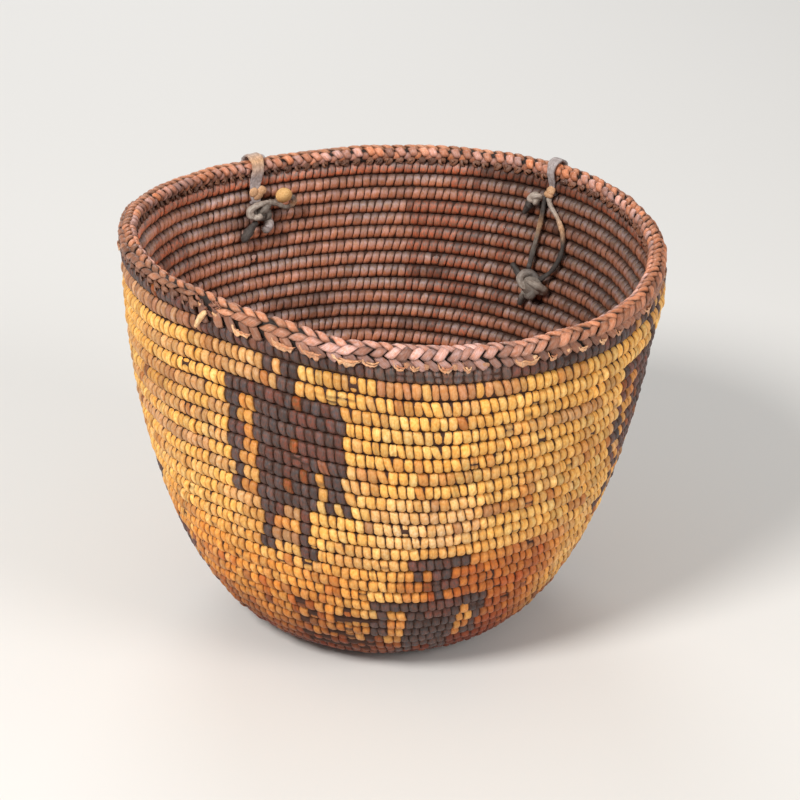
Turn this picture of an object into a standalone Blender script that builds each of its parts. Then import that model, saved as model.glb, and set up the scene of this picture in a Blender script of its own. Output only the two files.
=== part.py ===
"""Coiled basket with a braided rim and two hide ties, in metres with +Z up.

The wall is one coil of wrapped foundation that winds out from a start knot, turns up at the
heel and climbs counter-clockwise to the rim. It is modelled as lengths of coil that meet at
splices. The origin is under the middle of the basket, on the plane that the foot row rests on.
"""
import math

import bmesh
import bpy
import numpy as np
from mathutils import Matrix, Vector

# Overall sizes
RIM_RADIUS = 0.1085
RIM_HEIGHT = 0.165
BASE_RADIUS = 0.0405
BASE_RISE = 0.002
HEEL_REACH = 0.040
WALL_REACH = 0.080
RIM_LEAN = math.radians(1.2)

# Rows of coil
ROW_PITCH = 0.00635
ROW_GAP = 0.0009
CLEARANCE = 0.0003
FOOT_CUT = 0.0005
WALL_POINTS = 22
BASE_POINTS = 14
FIRST_TURN = 1.0
START_KNOT_THICKNESS = 0.0046

# Lengths of coil, in turns, counted down from the rim and up from the base
BORDER_TURNS = 1
UPPER_TURNS = 8
MIDDLE_TURNS = 8
HEEL_TURNS = 5

# Where the coil ends under the braid, and how the rim comes down over its thin end
END_ANGLE = math.radians(229.0)
RISE_END = 0.10
DROP_START = 0.84

# Handmade warp of the upper wall: the far side is low, two opposite sides stand high
WARP_DEPTH = 0.095
REAR_DROP = 0.0031
SADDLE_HEIGHT = 0.0037
SADDLE_ANGLE = math.radians(38.0)

# Rim
BRAID_RADIUS = 0.0034
BRAID_WALL = 0.0015
BRAID_POINTS = 44
BRAID_HALF_OPENING = math.radians(25.0)
RIM_SEAT_GAP = 0.00045

# Hide ties: each strap loops over the rim and back through the wall, under the rows it holds
STRAP_THICKNESS = 0.0014
LEFT_TIE_ANGLE = math.radians(124.7)
LEFT_STRAP_WIDTH = 0.0056
LEFT_ROWS_HELD = 2
RIGHT_TIE_ANGLE = math.radians(50.2)
RIGHT_STRAP_WIDTH = 0.0040
RIGHT_ROWS_HELD = 1
THONG_DIAMETER = 0.0022

# Routes of the thongs and places of the knots: right of the strap as seen from inside, below
# the strap's lower edge, and off the rows. Each knot also has its width, height and depth.
LEFT_KNOT = ((-0.0005, 0.0047, 0.0032), (0.0100, 0.0078, 0.0060))
LEFT_CURLED_END = ((0.0058, 0.0044, 0.0034), (0.0090, 0.0058, 0.0032), (0.0125, 0.0052, 0.0034),
                   (0.0147, 0.0014, 0.0040), (0.0128, -0.0032, 0.0050))
LEFT_SHORT_END = ((0.0024, 0.0091, 0.0028), (0.0042, 0.0114, 0.0024), (0.0056, 0.0142, 0.0020))
LEFT_TAIL = ((-0.0042, 0.0087, 0.0028), (-0.0076, 0.0120, 0.0020), (-0.0108, 0.0172, 0.0015))
RIGHT_UPPER_KNOT = ((-0.0059, 0.0028, 0.0034), (0.0066, 0.0072, 0.0058))
RIGHT_UPPER_TAIL = ((-0.0074, 0.0066, 0.0026), (-0.0092, 0.0090, 0.0018), (-0.0106, 0.0122, 0.0014))
RIGHT_LEFT_STRAND = ((-0.00125, 0.0006, 0.0013), (-0.0013, 0.0044, 0.0013), (-0.0024, 0.0152, 0.0013),
                     (-0.0034, 0.0265, 0.0018), (-0.0038, 0.0354, 0.0034))
RIGHT_RIGHT_STRAND = ((0.00125, 0.0006, 0.0013), (0.0024, 0.0044, 0.0013), (0.0082, 0.0098, 0.0013),
                      (0.0120, 0.0170, 0.0013), (0.0122, 0.0250, 0.0014), (0.0088, 0.0330, 0.0022),
                      (0.0024, 0.0390, 0.0034))
RIGHT_LOWER_KNOT = ((-0.0038, 0.0408, 0.0036), (0.0110, 0.0100, 0.0066))
RIGHT_LEFT_END = ((-0.0100, 0.0386, 0.0030), (-0.0124, 0.0368, 0.0022), (-0.0148, 0.0356, 0.0014))
RIGHT_LOWER_END = ((-0.0054, 0.0461, 0.0032), (-0.0064, 0.0490, 0.0024), (-0.0072, 0.0530, 0.0016))

# Stub of hide: degrees past the coil's end, below the braid's middle, and off the rows
STUB_DIAMETER = 0.0021
STUB_ROUTE = ((2.0, 0.0042, 0.0010), (1.2, 0.0062, 0.0010), (0.4, 0.0098, 0.0011))

# Sizes that follow from the ones above
ROW_FLAT = ROW_PITCH - ROW_GAP
COIL_RADIUS = ROW_FLAT / 2 / math.cos(math.radians(30))
FOOT_LIFT = COIL_RADIUS - FOOT_CUT
BRAID_SEAT = BRAID_RADIUS * math.cos(BRAID_HALF_OPENING) + RIM_SEAT_GAP
CORE_RADIUS = BRAID_RADIUS - BRAID_WALL - CLEARANCE


def profile_points():
    """Radius and height down the middle of the coil, from the base's centre to past the rim."""
    foot_inner = BASE_RADIUS - ROW_PITCH
    points = []
    for radius in np.linspace(0, foot_inner, 60):
        points.append((radius, BASE_RISE * (1 - (radius / foot_inner) ** 2) ** 2))
    heel = np.array((BASE_RADIUS, 0.0))
    rim = np.array((RIM_RADIUS, RIM_HEIGHT))
    up = np.array((math.sin(RIM_LEAN), math.cos(RIM_LEAN)))
    heel_handle = heel + np.array((HEEL_REACH, 0.0))
    rim_handle = rim - WALL_REACH * up
    for t in np.linspace(0, 1, 300):
        s = 1 - t
        points.append(s**3 * heel + 3 * s * s * t * heel_handle + 3 * s * t * t * rim_handle + t**3 * rim)
    points.append(rim + 3 * ROW_PITCH * up)
    return np.array(points)


PROFILE = profile_points()
STEPS = np.hypot(*np.diff(PROFILE, axis=0).T)
REACH = np.concatenate(([0.0], np.cumsum(STEPS)))
RIM_REACH = float(REACH[-2])


def profile_at(reach):
    """Radius, height and upward direction at a distance along the profile."""
    def place(distance):
        return np.array((np.interp(distance, REACH, PROFILE[:, 0]), np.interp(distance, REACH, PROFILE[:, 1])))
    step = ROW_PITCH / 4
    up = place(reach + step) - place(reach - step)
    return place(reach), up / np.linalg.norm(up)


def rim_rise(turn_share):
    """Height gained by the rim after a share of the last turn, falling back over the coil's end."""
    share = turn_share + 1 if turn_share < RISE_END else turn_share
    if share <= DROP_START:
        return ROW_PITCH * share
    x = (share - DROP_START) / (1 + RISE_END - DROP_START)
    return ROW_PITCH * (DROP_START + (RISE_END - DROP_START) * x * x * (3 - 2 * x))


MEAN_RISE = float(np.mean([rim_rise(share) for share in np.arange(0, 1, 0.01)]))
LAST_TURN = 1 + (RIM_REACH - MEAN_RISE - ROW_FLAT / 2 - BRAID_SEAT) / ROW_PITCH


def warp(angle, reach):
    """How far the handmade wall stands above its true height."""
    border_reach = ROW_PITCH * (LAST_TURN - 1)
    fade = min(1.0, max(0.0, 1 - (border_reach - reach) / WARP_DEPTH))
    return fade * (SADDLE_HEIGHT * math.cos(2 * (angle - SADDLE_ANGLE)) - REAR_DROP * math.sin(angle))


def wall_frame(angle, reach, flat=1.0):
    """Point on the coil's middle surface, with the outward and upward directions there.

    flat scales the radius, for a place on the straight side of a loop's polygon.
    """
    place, up = profile_at(reach)
    around = Vector((math.cos(angle), math.sin(angle), 0))
    centre = around * (place[0] * flat)
    centre.z = place[1] + warp(angle, reach) + FOOT_LIFT
    outward = around * up[1] - Vector((0, 0, up[0]))
    upward = around * up[0] + Vector((0, 0, up[1]))
    return centre, outward, upward


def turn_angle(turn):
    return END_ANGLE + 2 * math.pi * (turn - LAST_TURN)


def end_thickness(turn):
    """Share of full thickness that the coil keeps where the rim comes down over its end."""
    share = turn - LAST_TURN + 1
    if share < DROP_START:
        return 1.0
    room = ROW_PITCH * (1 - share) + rim_rise(share) - ROW_GAP
    return min(1.0, room / ROW_FLAT)


def coil_frame(turn):
    """Centre, outward and upward directions and thickness share of the coil after some turns."""
    share = end_thickness(turn)
    reach = ROW_PITCH * turn
    if share < 1:
        reach = ROW_PITCH * (turn - 1) + ROW_FLAT / 2 + ROW_GAP + share * ROW_FLAT / 2
    centre, outward, upward = wall_frame(turn_angle(turn), reach)
    return centre, outward, upward, share


def side_flatness(angle, loop_points=WALL_POINTS):
    """Radius of a loop's polygon at an angle, as a share of its corners' radius."""
    side = 2 * math.pi / loop_points
    past_corner = (angle - END_ANGLE) % side
    return math.cos(side / 2) / math.cos(past_corner - side / 2)


def make_material(name, colour, roughness):
    material = bpy.data.materials.new(name)
    material.use_nodes = True
    shader = material.node_tree.nodes["Principled BSDF"]
    shader.inputs["Base Color"].default_value = (*colour, 1)
    shader.inputs["Roughness"].default_value = roughness
    shader.inputs["Metallic"].default_value = 0.0
    return material


def add_object(name, data, material):
    data.materials.clear()
    data.materials.append(material)
    piece = bpy.data.objects.new(name, data)
    bpy.context.scene.collection.objects.link(piece)
    return piece


def weld_caps(mesh):
    """Join the end caps of a tube to its sides."""
    shape = bmesh.new()
    shape.from_mesh(mesh)
    bmesh.ops.remove_doubles(shape, verts=shape.verts, dist=1e-6)
    bmesh.ops.recalc_face_normals(shape, faces=shape.faces)
    shape.to_mesh(mesh)
    shape.free()


def make_tube(name, centres, radius, material, outwards=None, shares=None, resolution=1, closed=False):
    """Mesh tube along points; outwards turns a corner of its section to that direction."""
    curve = bpy.data.curves.new(name, "CURVE")
    curve.dimensions = "3D"
    curve.twist_mode = "Z_UP"
    curve.bevel_depth = radius
    curve.bevel_resolution = resolution
    curve.resolution_u = 1
    curve.use_fill_caps = not closed
    spline = curve.splines.new("POLY")
    spline.points.add(len(centres) - 1)
    spline.use_cyclic_u = closed
    for number, centre in enumerate(centres):
        point = spline.points[number]
        point.co = (*centre, 1)
        if outwards:
            outward = outwards[number]
            point.tilt = -math.atan2(outward.z, math.hypot(outward.x, outward.y))
        if shares:
            point.radius = shares[number]
    guide = bpy.data.objects.new(name, curve)
    bpy.context.scene.collection.objects.link(guide)
    bpy.context.view_layer.update()
    mesh = bpy.data.meshes.new_from_object(guide.evaluated_get(bpy.context.evaluated_depsgraph_get()))
    bpy.data.objects.remove(guide)
    weld_caps(mesh)
    mesh.shade_smooth()
    mesh.set_sharp_from_angle(angle=math.radians(40))
    return add_object(name, mesh, material)


def section_corners(frame):
    """Six corners of the coil's section, two of them facing straight out and in."""
    centre, outward, upward, share = frame
    turns = [math.radians(60 * corner) for corner in range(6)]
    return np.array([centre + COIL_RADIUS * share * (math.cos(a) * outward + math.sin(a) * upward)
                     for a in turns])


def loop_gap(frames, loop_points):
    """Least distance between a coil's turns, from each corner to the next loop's edges."""
    rings = [section_corners(frame) for frame in frames]
    least = math.inf
    for number in range(len(rings) - loop_points):
        here = rings[number]
        above = rings[number + loop_points]
        for corners, edges in ((here, above), (above, here)):
            starts = edges
            ends = np.roll(edges, -1, axis=0)
            for corner in corners:
                sides = ends - starts
                along = np.clip(np.sum((corner - starts) * sides, axis=1) / np.sum(sides**2, axis=1), 0, 1)
                nearest = starts + along[:, None] * sides
                least = min(least, float(np.min(np.linalg.norm(nearest - corner, axis=1))))
    return least


def make_coil(name, turns, loop_points, material, start_turn=None, end_turn=None):
    """Length of coil through corners at the given turns, cut square at its splices.

    start_turn and end_turn are the neighbouring lengths' nearest corners. The splice lies
    halfway to them, and each side keeps half the clearance.
    """
    frames = [coil_frame(turn) for turn in turns]
    centres = [frame[0] for frame in frames]
    outwards = [frame[1] for frame in frames]
    shares = [frame[3] for frame in frames]
    for turn, end in ((start_turn, 0), (end_turn, -1)):
        if turn is None:
            continue
        beyond = coil_frame(turn)
        run = beyond[0] - centres[end]
        splice = centres[end] + run.normalized() * (run.length / 2 - CLEARANCE / 2)
        place = 0 if end == 0 else len(centres)
        centres.insert(place, splice)
        outwards.insert(place, (outwards[end] + beyond[1]).normalized())
        shares.insert(place, (shares[end] + beyond[3]) / 2)
    gap = loop_gap(frames, loop_points) * 1000
    print(f"{name}: {len(turns) / loop_points:.1f} loops, at least {gap:.2f} mm apart")
    return make_tube(name, centres, COIL_RADIUS, material, outwards, shares)


def make_coils(materials):
    """All lengths of coil, from the start knot to the thin end under the braid."""
    wall_turns = [LAST_TURN - step / WALL_POINTS for step in range(int(LAST_TURN * WALL_POINTS))][::-1]
    base_turn_count = BASE_RADIUS / ROW_PITCH
    wall_turns = [turn for turn in wall_turns if turn >= base_turn_count]
    base_end = wall_turns[0] - 1 / (BASE_POINTS + 2)
    base_steps = int((base_end - FIRST_TURN) * BASE_POINTS)
    base_turns = [base_end - step / BASE_POINTS for step in range(base_steps + 1)][::-1]
    border = len(wall_turns) - BORDER_TURNS * WALL_POINTS - 1
    upper = border - UPPER_TURNS * WALL_POINTS
    middle = upper - MIDDLE_TURNS * WALL_POINTS
    heel = HEEL_TURNS * WALL_POINTS
    coils = {"base_coil": make_coil("base_coil", base_turns, BASE_POINTS, materials["base"],
                                    end_turn=wall_turns[0])}
    lengths = (("heel_coil", 0, heel, "wall"), ("lower_wall_coil", heel, middle, "wall"),
               ("middle_wall_coil", middle, upper, "wall"), ("upper_wall_coil", upper, border, "wall"),
               ("dark_border_coil", border, len(wall_turns), "dark"))
    for name, first, last, finish in lengths:
        before = wall_turns[first - 1] if first else base_turns[-1]
        after = wall_turns[last] if last < len(wall_turns) else None
        coils[name] = make_coil(name, wall_turns[first:last], WALL_POINTS, materials[finish], before, after)
    return coils, base_turns[0]


def make_start_knot(first_turn, material):
    """Rounded button of knotted foundation inside the first loop."""
    def inner_edge(turn):
        radius = (ROW_PITCH * turn - ROW_FLAT / 2) * math.cos(math.pi / BASE_POINTS)
        angle = turn_angle(turn)
        return Vector((radius * math.cos(angle), radius * math.sin(angle), 0))
    middle = (inner_edge(first_turn) + inner_edge(first_turn + 0.5)) / 2
    loop = [inner_edge(first_turn + share) for share in np.linspace(0, 1, 60)]
    radius = min((edge - middle).length for edge in loop) - CLEARANCE
    shape = bmesh.new()
    bmesh.ops.create_cone(shape, cap_ends=True, segments=24, radius1=radius, radius2=radius,
                          depth=START_KNOT_THICKNESS)
    rims = [edge for edge in shape.edges if abs(edge.verts[0].co.z - edge.verts[1].co.z) < CLEARANCE]
    bmesh.ops.bevel(shape, geom=rims, offset=START_KNOT_THICKNESS / 5, segments=2, affect="EDGES", profile=0.5)
    mesh = bpy.data.meshes.new("start_knot")
    shape.to_mesh(mesh)
    shape.free()
    mesh.shade_smooth()
    mesh.set_sharp_from_angle(angle=math.radians(40))
    knot = add_object("start_knot", mesh, material)
    knot.location = (middle.x, middle.y, BASE_RISE + FOOT_LIFT)
    return knot


def last_turn_share(angle):
    """Share of a turn from the coil's end to an angle, the way the coil climbs."""
    return ((angle - END_ANGLE) / (2 * math.pi)) % 1


def rim_reach(angle):
    """Distance along the profile of the braid's middle."""
    return ROW_PITCH * (LAST_TURN - 1) + ROW_FLAT / 2 + BRAID_SEAT + rim_rise(last_turn_share(angle))


def rim_frame(angle, flat=1.0):
    """Middle of the braid with its outward and upward directions."""
    return wall_frame(angle, rim_reach(angle), flat)


def rim_angles():
    return [END_ANGLE + 2 * math.pi * step / BRAID_POINTS for step in range(BRAID_POINTS)]


def make_rim(materials):
    """Core of the rim and the braided sheath that straddles it, open along its underside."""
    frames = [rim_frame(angle) for angle in rim_angles()]
    make_tube("rim_core", [frame[0] for frame in frames], CORE_RADIUS, materials["core"],
              [frame[1] for frame in frames], closed=True)
    start = -math.pi / 2 + BRAID_HALF_OPENING
    sweep = 2 * math.pi - 2 * BRAID_HALF_OPENING
    section = [(BRAID_RADIUS, start + sweep * step / 9) for step in range(10)]
    section += [(BRAID_RADIUS - BRAID_WALL, start + sweep * step / 7) for step in range(7, -1, -1)]
    shape = bmesh.new()
    rings = []
    for centre, outward, upward in frames:
        rings.append([shape.verts.new(centre + radius * (math.cos(a) * outward + math.sin(a) * upward))
                      for radius, a in section])
    count = len(section)
    for number, ring in enumerate(rings):
        following = rings[(number + 1) % len(rings)]
        for corner in range(count):
            after = (corner + 1) % count
            shape.faces.new((ring[corner], ring[after], following[after], following[corner]))
    bmesh.ops.recalc_face_normals(shape, faces=shape.faces)
    mesh = bpy.data.meshes.new("rim_braid")
    shape.to_mesh(mesh)
    shape.free()
    mesh.shade_smooth()
    mesh.set_sharp_from_angle(angle=math.radians(50))
    return add_object("rim_braid", mesh, materials["braid"])


def tie_reach(angle, rows_held):
    """Distance along the profile of the gap that a tie passes through."""
    return ROW_PITCH * (LAST_TURN - 1 + last_turn_share(angle) - rows_held + 0.5)


def strap_path(angle, width, rows_held):
    """Closed route of a strap, over the braid and back through the wall, in its own upright plane."""
    half_sweep = width / 2 / RIM_RADIUS
    sweep = [angle + half_sweep * share for share in np.linspace(-1, 1, 9)]
    flats = [side_flatness(place) for place in sweep]
    rim_flats = [side_flatness(place, BRAID_POINTS) for place in sweep]
    stand = COIL_RADIUS + CLEARANCE + STRAP_THICKNESS / 2
    slot = tie_reach(angle, rows_held)
    rim_centre, rim_out, rim_up = rim_frame(angle, (max(rim_flats) + min(rim_flats)) / 2)
    top = slot + (rows_held - 0.5) * ROW_PITCH
    legs = np.linspace(slot, top, rows_held + 1)
    path = []
    for reach in legs:
        centre, outward, upward = wall_frame(angle, reach, max(flats))
        path.append(centre + outward * stand)
    spread = RIM_RADIUS * (max(rim_flats) - min(rim_flats)) / 2
    arc = BRAID_RADIUS + CLEARANCE + STRAP_THICKNESS / 2 + spread
    for degrees in range(0, 181, 20):
        turn = math.radians(degrees)
        path.append(rim_centre + arc * (math.cos(turn) * rim_out + math.sin(turn) * rim_up))
    for reach in legs[::-1]:
        centre, outward, upward = wall_frame(angle, reach, min(flats))
        path.append(centre - outward * stand)
    return path


def make_strap(name, angle, width, rows_held, material):
    """Flat hide strap bent into a closed loop around the rim."""
    path = strap_path(angle, width, rows_held)
    sideways = Vector((-math.sin(angle), math.cos(angle), 0))
    shape = bmesh.new()
    rings = []
    for number, point in enumerate(path):
        before = (point - path[number - 1]).normalized()
        after = (path[(number + 1) % len(path)] - point).normalized()
        along = (before + after).normalized()
        across = sideways.cross(along)
        mitre = across * (STRAP_THICKNESS / 2 / max(0.5, across.dot(sideways.cross(before))))
        edge = sideways * (width / 2)
        rings.append([shape.verts.new(point + corner) for corner in
                      (mitre + edge, mitre - edge, -mitre - edge, -mitre + edge)])
    for number, ring in enumerate(rings):
        following = rings[(number + 1) % len(rings)]
        for corner in range(4):
            after = (corner + 1) % 4
            shape.faces.new((ring[corner], ring[after], following[after], following[corner]))
    bmesh.ops.recalc_face_normals(shape, faces=shape.faces)
    mesh = bpy.data.meshes.new(name)
    shape.to_mesh(mesh)
    shape.free()
    return add_object(name, mesh, material)


def make_cutter(name, centre, outward, upward, sizes):
    """Box guide that is cut from its neighbours; sizes run outward, sideways and upward."""
    shape = bmesh.new()
    bmesh.ops.create_cube(shape, size=1.0)
    sideways = upward.cross(outward)
    for vertex in shape.verts:
        corner = vertex.co.copy()
        vertex.co = (centre + outward * corner.x * sizes[0] + sideways * corner.y * sizes[1]
                     + upward * corner.z * sizes[2])
    bmesh.ops.recalc_face_normals(shape, faces=shape.faces)
    mesh = bpy.data.meshes.new(name)
    shape.to_mesh(mesh)
    shape.free()
    cutter = bpy.data.objects.new(name, mesh)
    cutter.hide_render = True
    cutter.display_type = "WIRE"
    bpy.context.scene.collection.objects.link(cutter)
    return cutter


def cut(piece, cutter):
    modifier = piece.modifiers.new(cutter.name, "BOOLEAN")
    modifier.operation = "DIFFERENCE"
    modifier.object = cutter


def cut_foot(pieces):
    """Flat under the lowest row, which the basket stands on."""
    reach = 4 * BASE_RADIUS
    depth = 4 * COIL_RADIUS
    cutter = make_cutter("foot_plane", Vector((0, 0, -depth / 2)), Vector((1, 0, 0)), Vector((0, 0, 1)),
                         (reach, reach, depth))
    for piece in pieces:
        cut(piece, cutter)


def cut_tie_slot(name, angle, width, rows_held, pieces):
    """Slot between two rows that a strap passes through, clear of it all round."""
    centre, outward, upward = wall_frame(angle, tie_reach(angle, rows_held), side_flatness(angle))
    cutter = make_cutter(name, centre, outward, upward,
                         (6 * COIL_RADIUS, width + 2 * CLEARANCE, STRAP_THICKNESS + 2 * CLEARANCE))
    for piece in pieces:
        cut(piece, cutter)


def strap_edge(angle, rows_held):
    """Distance along the profile of a strap's lower edge."""
    return tie_reach(angle, rows_held) - STRAP_THICKNESS / 2


def tie_frame(tie, place):
    """Point inside the basket by its place under a tie's strap, with the directions there."""
    angle, rows_held = tie
    across, below, stand = place
    point_angle = angle - across / RIM_RADIUS
    centre, outward, upward = wall_frame(point_angle, strap_edge(angle, rows_held) - below,
                                         side_flatness(point_angle))
    return centre - outward * (COIL_RADIUS + CLEARANCE + stand), outward, upward


def smooth_route(points, steps):
    """Points on a Catmull-Rom curve through the route's own points."""
    ends = [2 * points[0] - points[1]] + points + [2 * points[-1] - points[-2]]
    route = []
    for number in range(1, len(points)):
        a, b, c, d = ends[number - 1:number + 3]
        for step in range(steps):
            t = step / steps
            route.append(0.5 * (2 * b + (c - a) * t + (2 * a - 5 * b + 4 * c - d) * t**2
                                + (3 * b - a - 3 * c + d) * t**3))
    route.append(points[-1])
    return route


def make_thong(name, tie, places, material):
    route = smooth_route([tie_frame(tie, place)[0] for place in places], 3)
    return make_tube(name, route, THONG_DIAMETER / 2, material, resolution=2)


def make_knot(name, tie, knot, material, neck=0.0):
    """Rounded lump of knotted hide; neck is how far its top leans back to the wall."""
    place, (width, height, depth) = knot
    middle, outward, upward = tie_frame(tie, place)
    sideways = outward.cross(upward)
    shape = bmesh.new()
    bmesh.ops.create_uvsphere(shape, u_segments=12, v_segments=8, radius=0.5)
    for vertex in shape.verts:
        across, out, up = vertex.co
        lean = neck * max(0.0, 2 * up) ** 2
        vertex.co = middle + sideways * across * width + outward * (out * depth + lean) + upward * up * height
    mesh = bpy.data.meshes.new(name)
    shape.to_mesh(mesh)
    shape.free()
    mesh.shade_smooth()
    return add_object(name, mesh, material)


def hang(name, tie, pieces):
    """Parent a tie's loose pieces to an empty on their hinge, at the strap's lower front edge."""
    place, outward, upward = tie_frame(tie, (0, 0, STRAP_THICKNESS))
    hinge = bpy.data.objects.new(name, None)
    hinge.location = place
    bpy.context.scene.collection.objects.link(hinge)
    for piece in pieces:
        piece.data.transform(Matrix.Translation(-place))
        piece.parent = hinge
    axis = upward.cross(outward)
    print(f"{name}: at {place.x:.5f}, {place.y:.5f}, {place.z:.5f} along {axis.x:.5f}, {axis.y:.5f}, {axis.z:.5f}")


def make_left_tie(hide):
    """Wide strap around two rows, with a knot and three loose ends."""
    tie = (LEFT_TIE_ANGLE, LEFT_ROWS_HELD)
    make_strap("left_tie_loop", LEFT_TIE_ANGLE, LEFT_STRAP_WIDTH, LEFT_ROWS_HELD, hide)
    pieces = [make_knot("left_tie_knot", tie, LEFT_KNOT, hide, neck=0.0022)]
    pieces.append(make_thong("left_tie_curled_end", tie, LEFT_CURLED_END, hide))
    pieces.append(make_thong("left_tie_short_end", tie, LEFT_SHORT_END, hide))
    pieces.append(make_thong("left_tie_tail", tie, LEFT_TAIL, hide))
    hang("left_tie_hinge", tie, pieces)


def make_right_tie(hide):
    """Narrow strap around one row, two long strands, and knots above and below them."""
    tie = (RIGHT_TIE_ANGLE, RIGHT_ROWS_HELD)
    make_strap("right_tie_loop", RIGHT_TIE_ANGLE, RIGHT_STRAP_WIDTH, RIGHT_ROWS_HELD, hide)
    pieces = [make_knot("right_tie_upper_knot", tie, RIGHT_UPPER_KNOT, hide)]
    pieces.append(make_thong("right_tie_upper_tail", tie, RIGHT_UPPER_TAIL, hide))
    pieces.append(make_thong("right_tie_left_strand", tie, RIGHT_LEFT_STRAND, hide))
    pieces.append(make_thong("right_tie_right_strand", tie, RIGHT_RIGHT_STRAND, hide))
    pieces.append(make_knot("right_tie_lower_knot", tie, RIGHT_LOWER_KNOT, hide))
    pieces.append(make_thong("right_tie_left_end", tie, RIGHT_LEFT_END, hide))
    pieces.append(make_thong("right_tie_lower_end", tie, RIGHT_LOWER_END, hide))
    hang("right_tie_hinge", tie, pieces)


def make_stub(material):
    """Pale end of hide that comes out under the braid where the coil ends."""
    places = []
    for degrees, below, stand in STUB_ROUTE:
        angle = END_ANGLE + math.radians(degrees)
        centre, outward, upward = wall_frame(angle, rim_reach(END_ANGLE) - below)
        places.append(centre + outward * (COIL_RADIUS + CLEARANCE + stand))
    return make_tube("hide_stub", smooth_route(places, 3), STUB_DIAMETER / 2, material, resolution=2)


def main():
    for piece in list(bpy.data.objects):
        bpy.data.objects.remove(piece)
    materials = {
        "base": make_material("base_stitches", (0.30, 0.13, 0.045), 0.55),
        "wall": make_material("golden_stitches", (0.50, 0.23, 0.055), 0.5),
        "dark": make_material("dark_stitches", (0.035, 0.018, 0.014), 0.55),
        "core": make_material("foundation", (0.10, 0.05, 0.03), 0.8),
        "braid": make_material("braid_strands", (0.28, 0.10, 0.06), 0.45),
        "hide": make_material("grey_hide", (0.20, 0.17, 0.14), 0.8),
        "pale_hide": make_material("pale_hide", (0.60, 0.45, 0.25), 0.7),
    }
    coils, first_turn = make_coils(materials)
    make_start_knot(first_turn, materials["base"])
    make_rim(materials)
    make_left_tie(materials["hide"])
    make_right_tie(materials["hide"])
    make_stub(materials["pale_hide"])
    cut_foot((coils["base_coil"], coils["heel_coil"]))
    walls = (coils["upper_wall_coil"], coils["dark_border_coil"])
    cut_tie_slot("left_slot", LEFT_TIE_ANGLE, LEFT_STRAP_WIDTH, LEFT_ROWS_HELD, walls[:1])
    cut_tie_slot("right_slot", RIGHT_TIE_ANGLE, RIGHT_STRAP_WIDTH, RIGHT_ROWS_HELD, walls)


main()
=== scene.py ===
"""Looks of the coiled basket: each stitch of its coil, its braided rim and its hide ties.

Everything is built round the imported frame, in metres. The shape repeats part.py: the wall is one
coil that climbs counter-clockwise, and a place on it is given in turns from the base's centre.
Rows are counted down from the rim. A value called degrees is in degrees, and one called angle in
radians.
"""
import math

import bpy
import numpy as np
from mathutils import Matrix, Vector
from numpy import clip, cos, exp, interp, linspace, sin, where


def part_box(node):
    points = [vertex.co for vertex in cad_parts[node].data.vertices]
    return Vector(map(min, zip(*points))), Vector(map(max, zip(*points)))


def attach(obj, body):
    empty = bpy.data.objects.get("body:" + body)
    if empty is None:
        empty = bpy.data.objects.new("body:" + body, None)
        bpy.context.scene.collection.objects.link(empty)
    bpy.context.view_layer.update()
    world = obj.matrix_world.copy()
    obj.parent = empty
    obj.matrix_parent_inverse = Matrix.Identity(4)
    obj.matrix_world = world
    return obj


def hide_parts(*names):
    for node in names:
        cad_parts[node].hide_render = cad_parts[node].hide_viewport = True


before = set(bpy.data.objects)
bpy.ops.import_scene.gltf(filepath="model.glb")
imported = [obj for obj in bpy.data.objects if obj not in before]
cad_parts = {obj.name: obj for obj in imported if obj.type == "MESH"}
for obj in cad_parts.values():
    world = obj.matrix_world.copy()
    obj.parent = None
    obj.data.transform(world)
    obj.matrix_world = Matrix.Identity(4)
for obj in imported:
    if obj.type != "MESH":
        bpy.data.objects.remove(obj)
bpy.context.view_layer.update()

MM = 0.001

# Shape of the basket, as in part.py
RIM_RADIUS = 0.1085
RIM_HEIGHT = 0.165
BASE_RADIUS = 0.0405
BASE_RISE = 0.002
HEEL_REACH = 0.040
WALL_REACH = 0.080
RIM_LEAN = math.radians(1.2)
ROW_PITCH = 0.00635
ROW_GAP = 0.0009
FOOT_CUT = 0.0005
CLEARANCE = 0.0003
END_ANGLE = math.radians(229.0)
RISE_END = 0.10
DROP_START = 0.84
WARP_DEPTH = 0.095
REAR_DROP = 0.0031
SADDLE_HEIGHT = 0.0037
SADDLE_ANGLE = math.radians(38.0)
BRAID_RADIUS = 0.0034
BRAID_HALF_OPENING = math.radians(25.0)
RIM_SEAT_GAP = 0.00045
STRAP_THICKNESS = 0.0014
ROW_FLAT = ROW_PITCH - ROW_GAP
COIL_RADIUS = ROW_FLAT / 2 / math.cos(math.radians(30))
FOOT_LIFT = COIL_RADIUS - FOOT_CUT
BRAID_SEAT = BRAID_RADIUS * math.cos(BRAID_HALF_OPENING) + RIM_SEAT_GAP
WALL_STEPS = 22


def profile_points():
    """Radius and height down the middle of the coil, from the base's centre to past the rim."""
    foot_inner = BASE_RADIUS - ROW_PITCH
    points = []
    for radius in linspace(0, foot_inner, 60):
        points.append((radius, BASE_RISE * (1 - (radius / foot_inner) ** 2) ** 2))
    heel = np.array((BASE_RADIUS, 0.0))
    rim = np.array((RIM_RADIUS, RIM_HEIGHT))
    up = np.array((math.sin(RIM_LEAN), math.cos(RIM_LEAN)))
    heel_handle = heel + np.array((HEEL_REACH, 0.0))
    rim_handle = rim - WALL_REACH * up
    for t in linspace(0, 1, 300):
        s = 1 - t
        points.append(s**3 * heel + 3 * s * s * t * heel_handle + 3 * s * t * t * rim_handle + t**3 * rim)
    points.append(rim + 3 * ROW_PITCH * up)
    return np.array(points)


PROFILE = profile_points()
REACH = np.append(0.0, np.cumsum(np.hypot(*np.diff(PROFILE, axis=0).T)))
RIM_REACH = float(REACH[-2])

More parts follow.
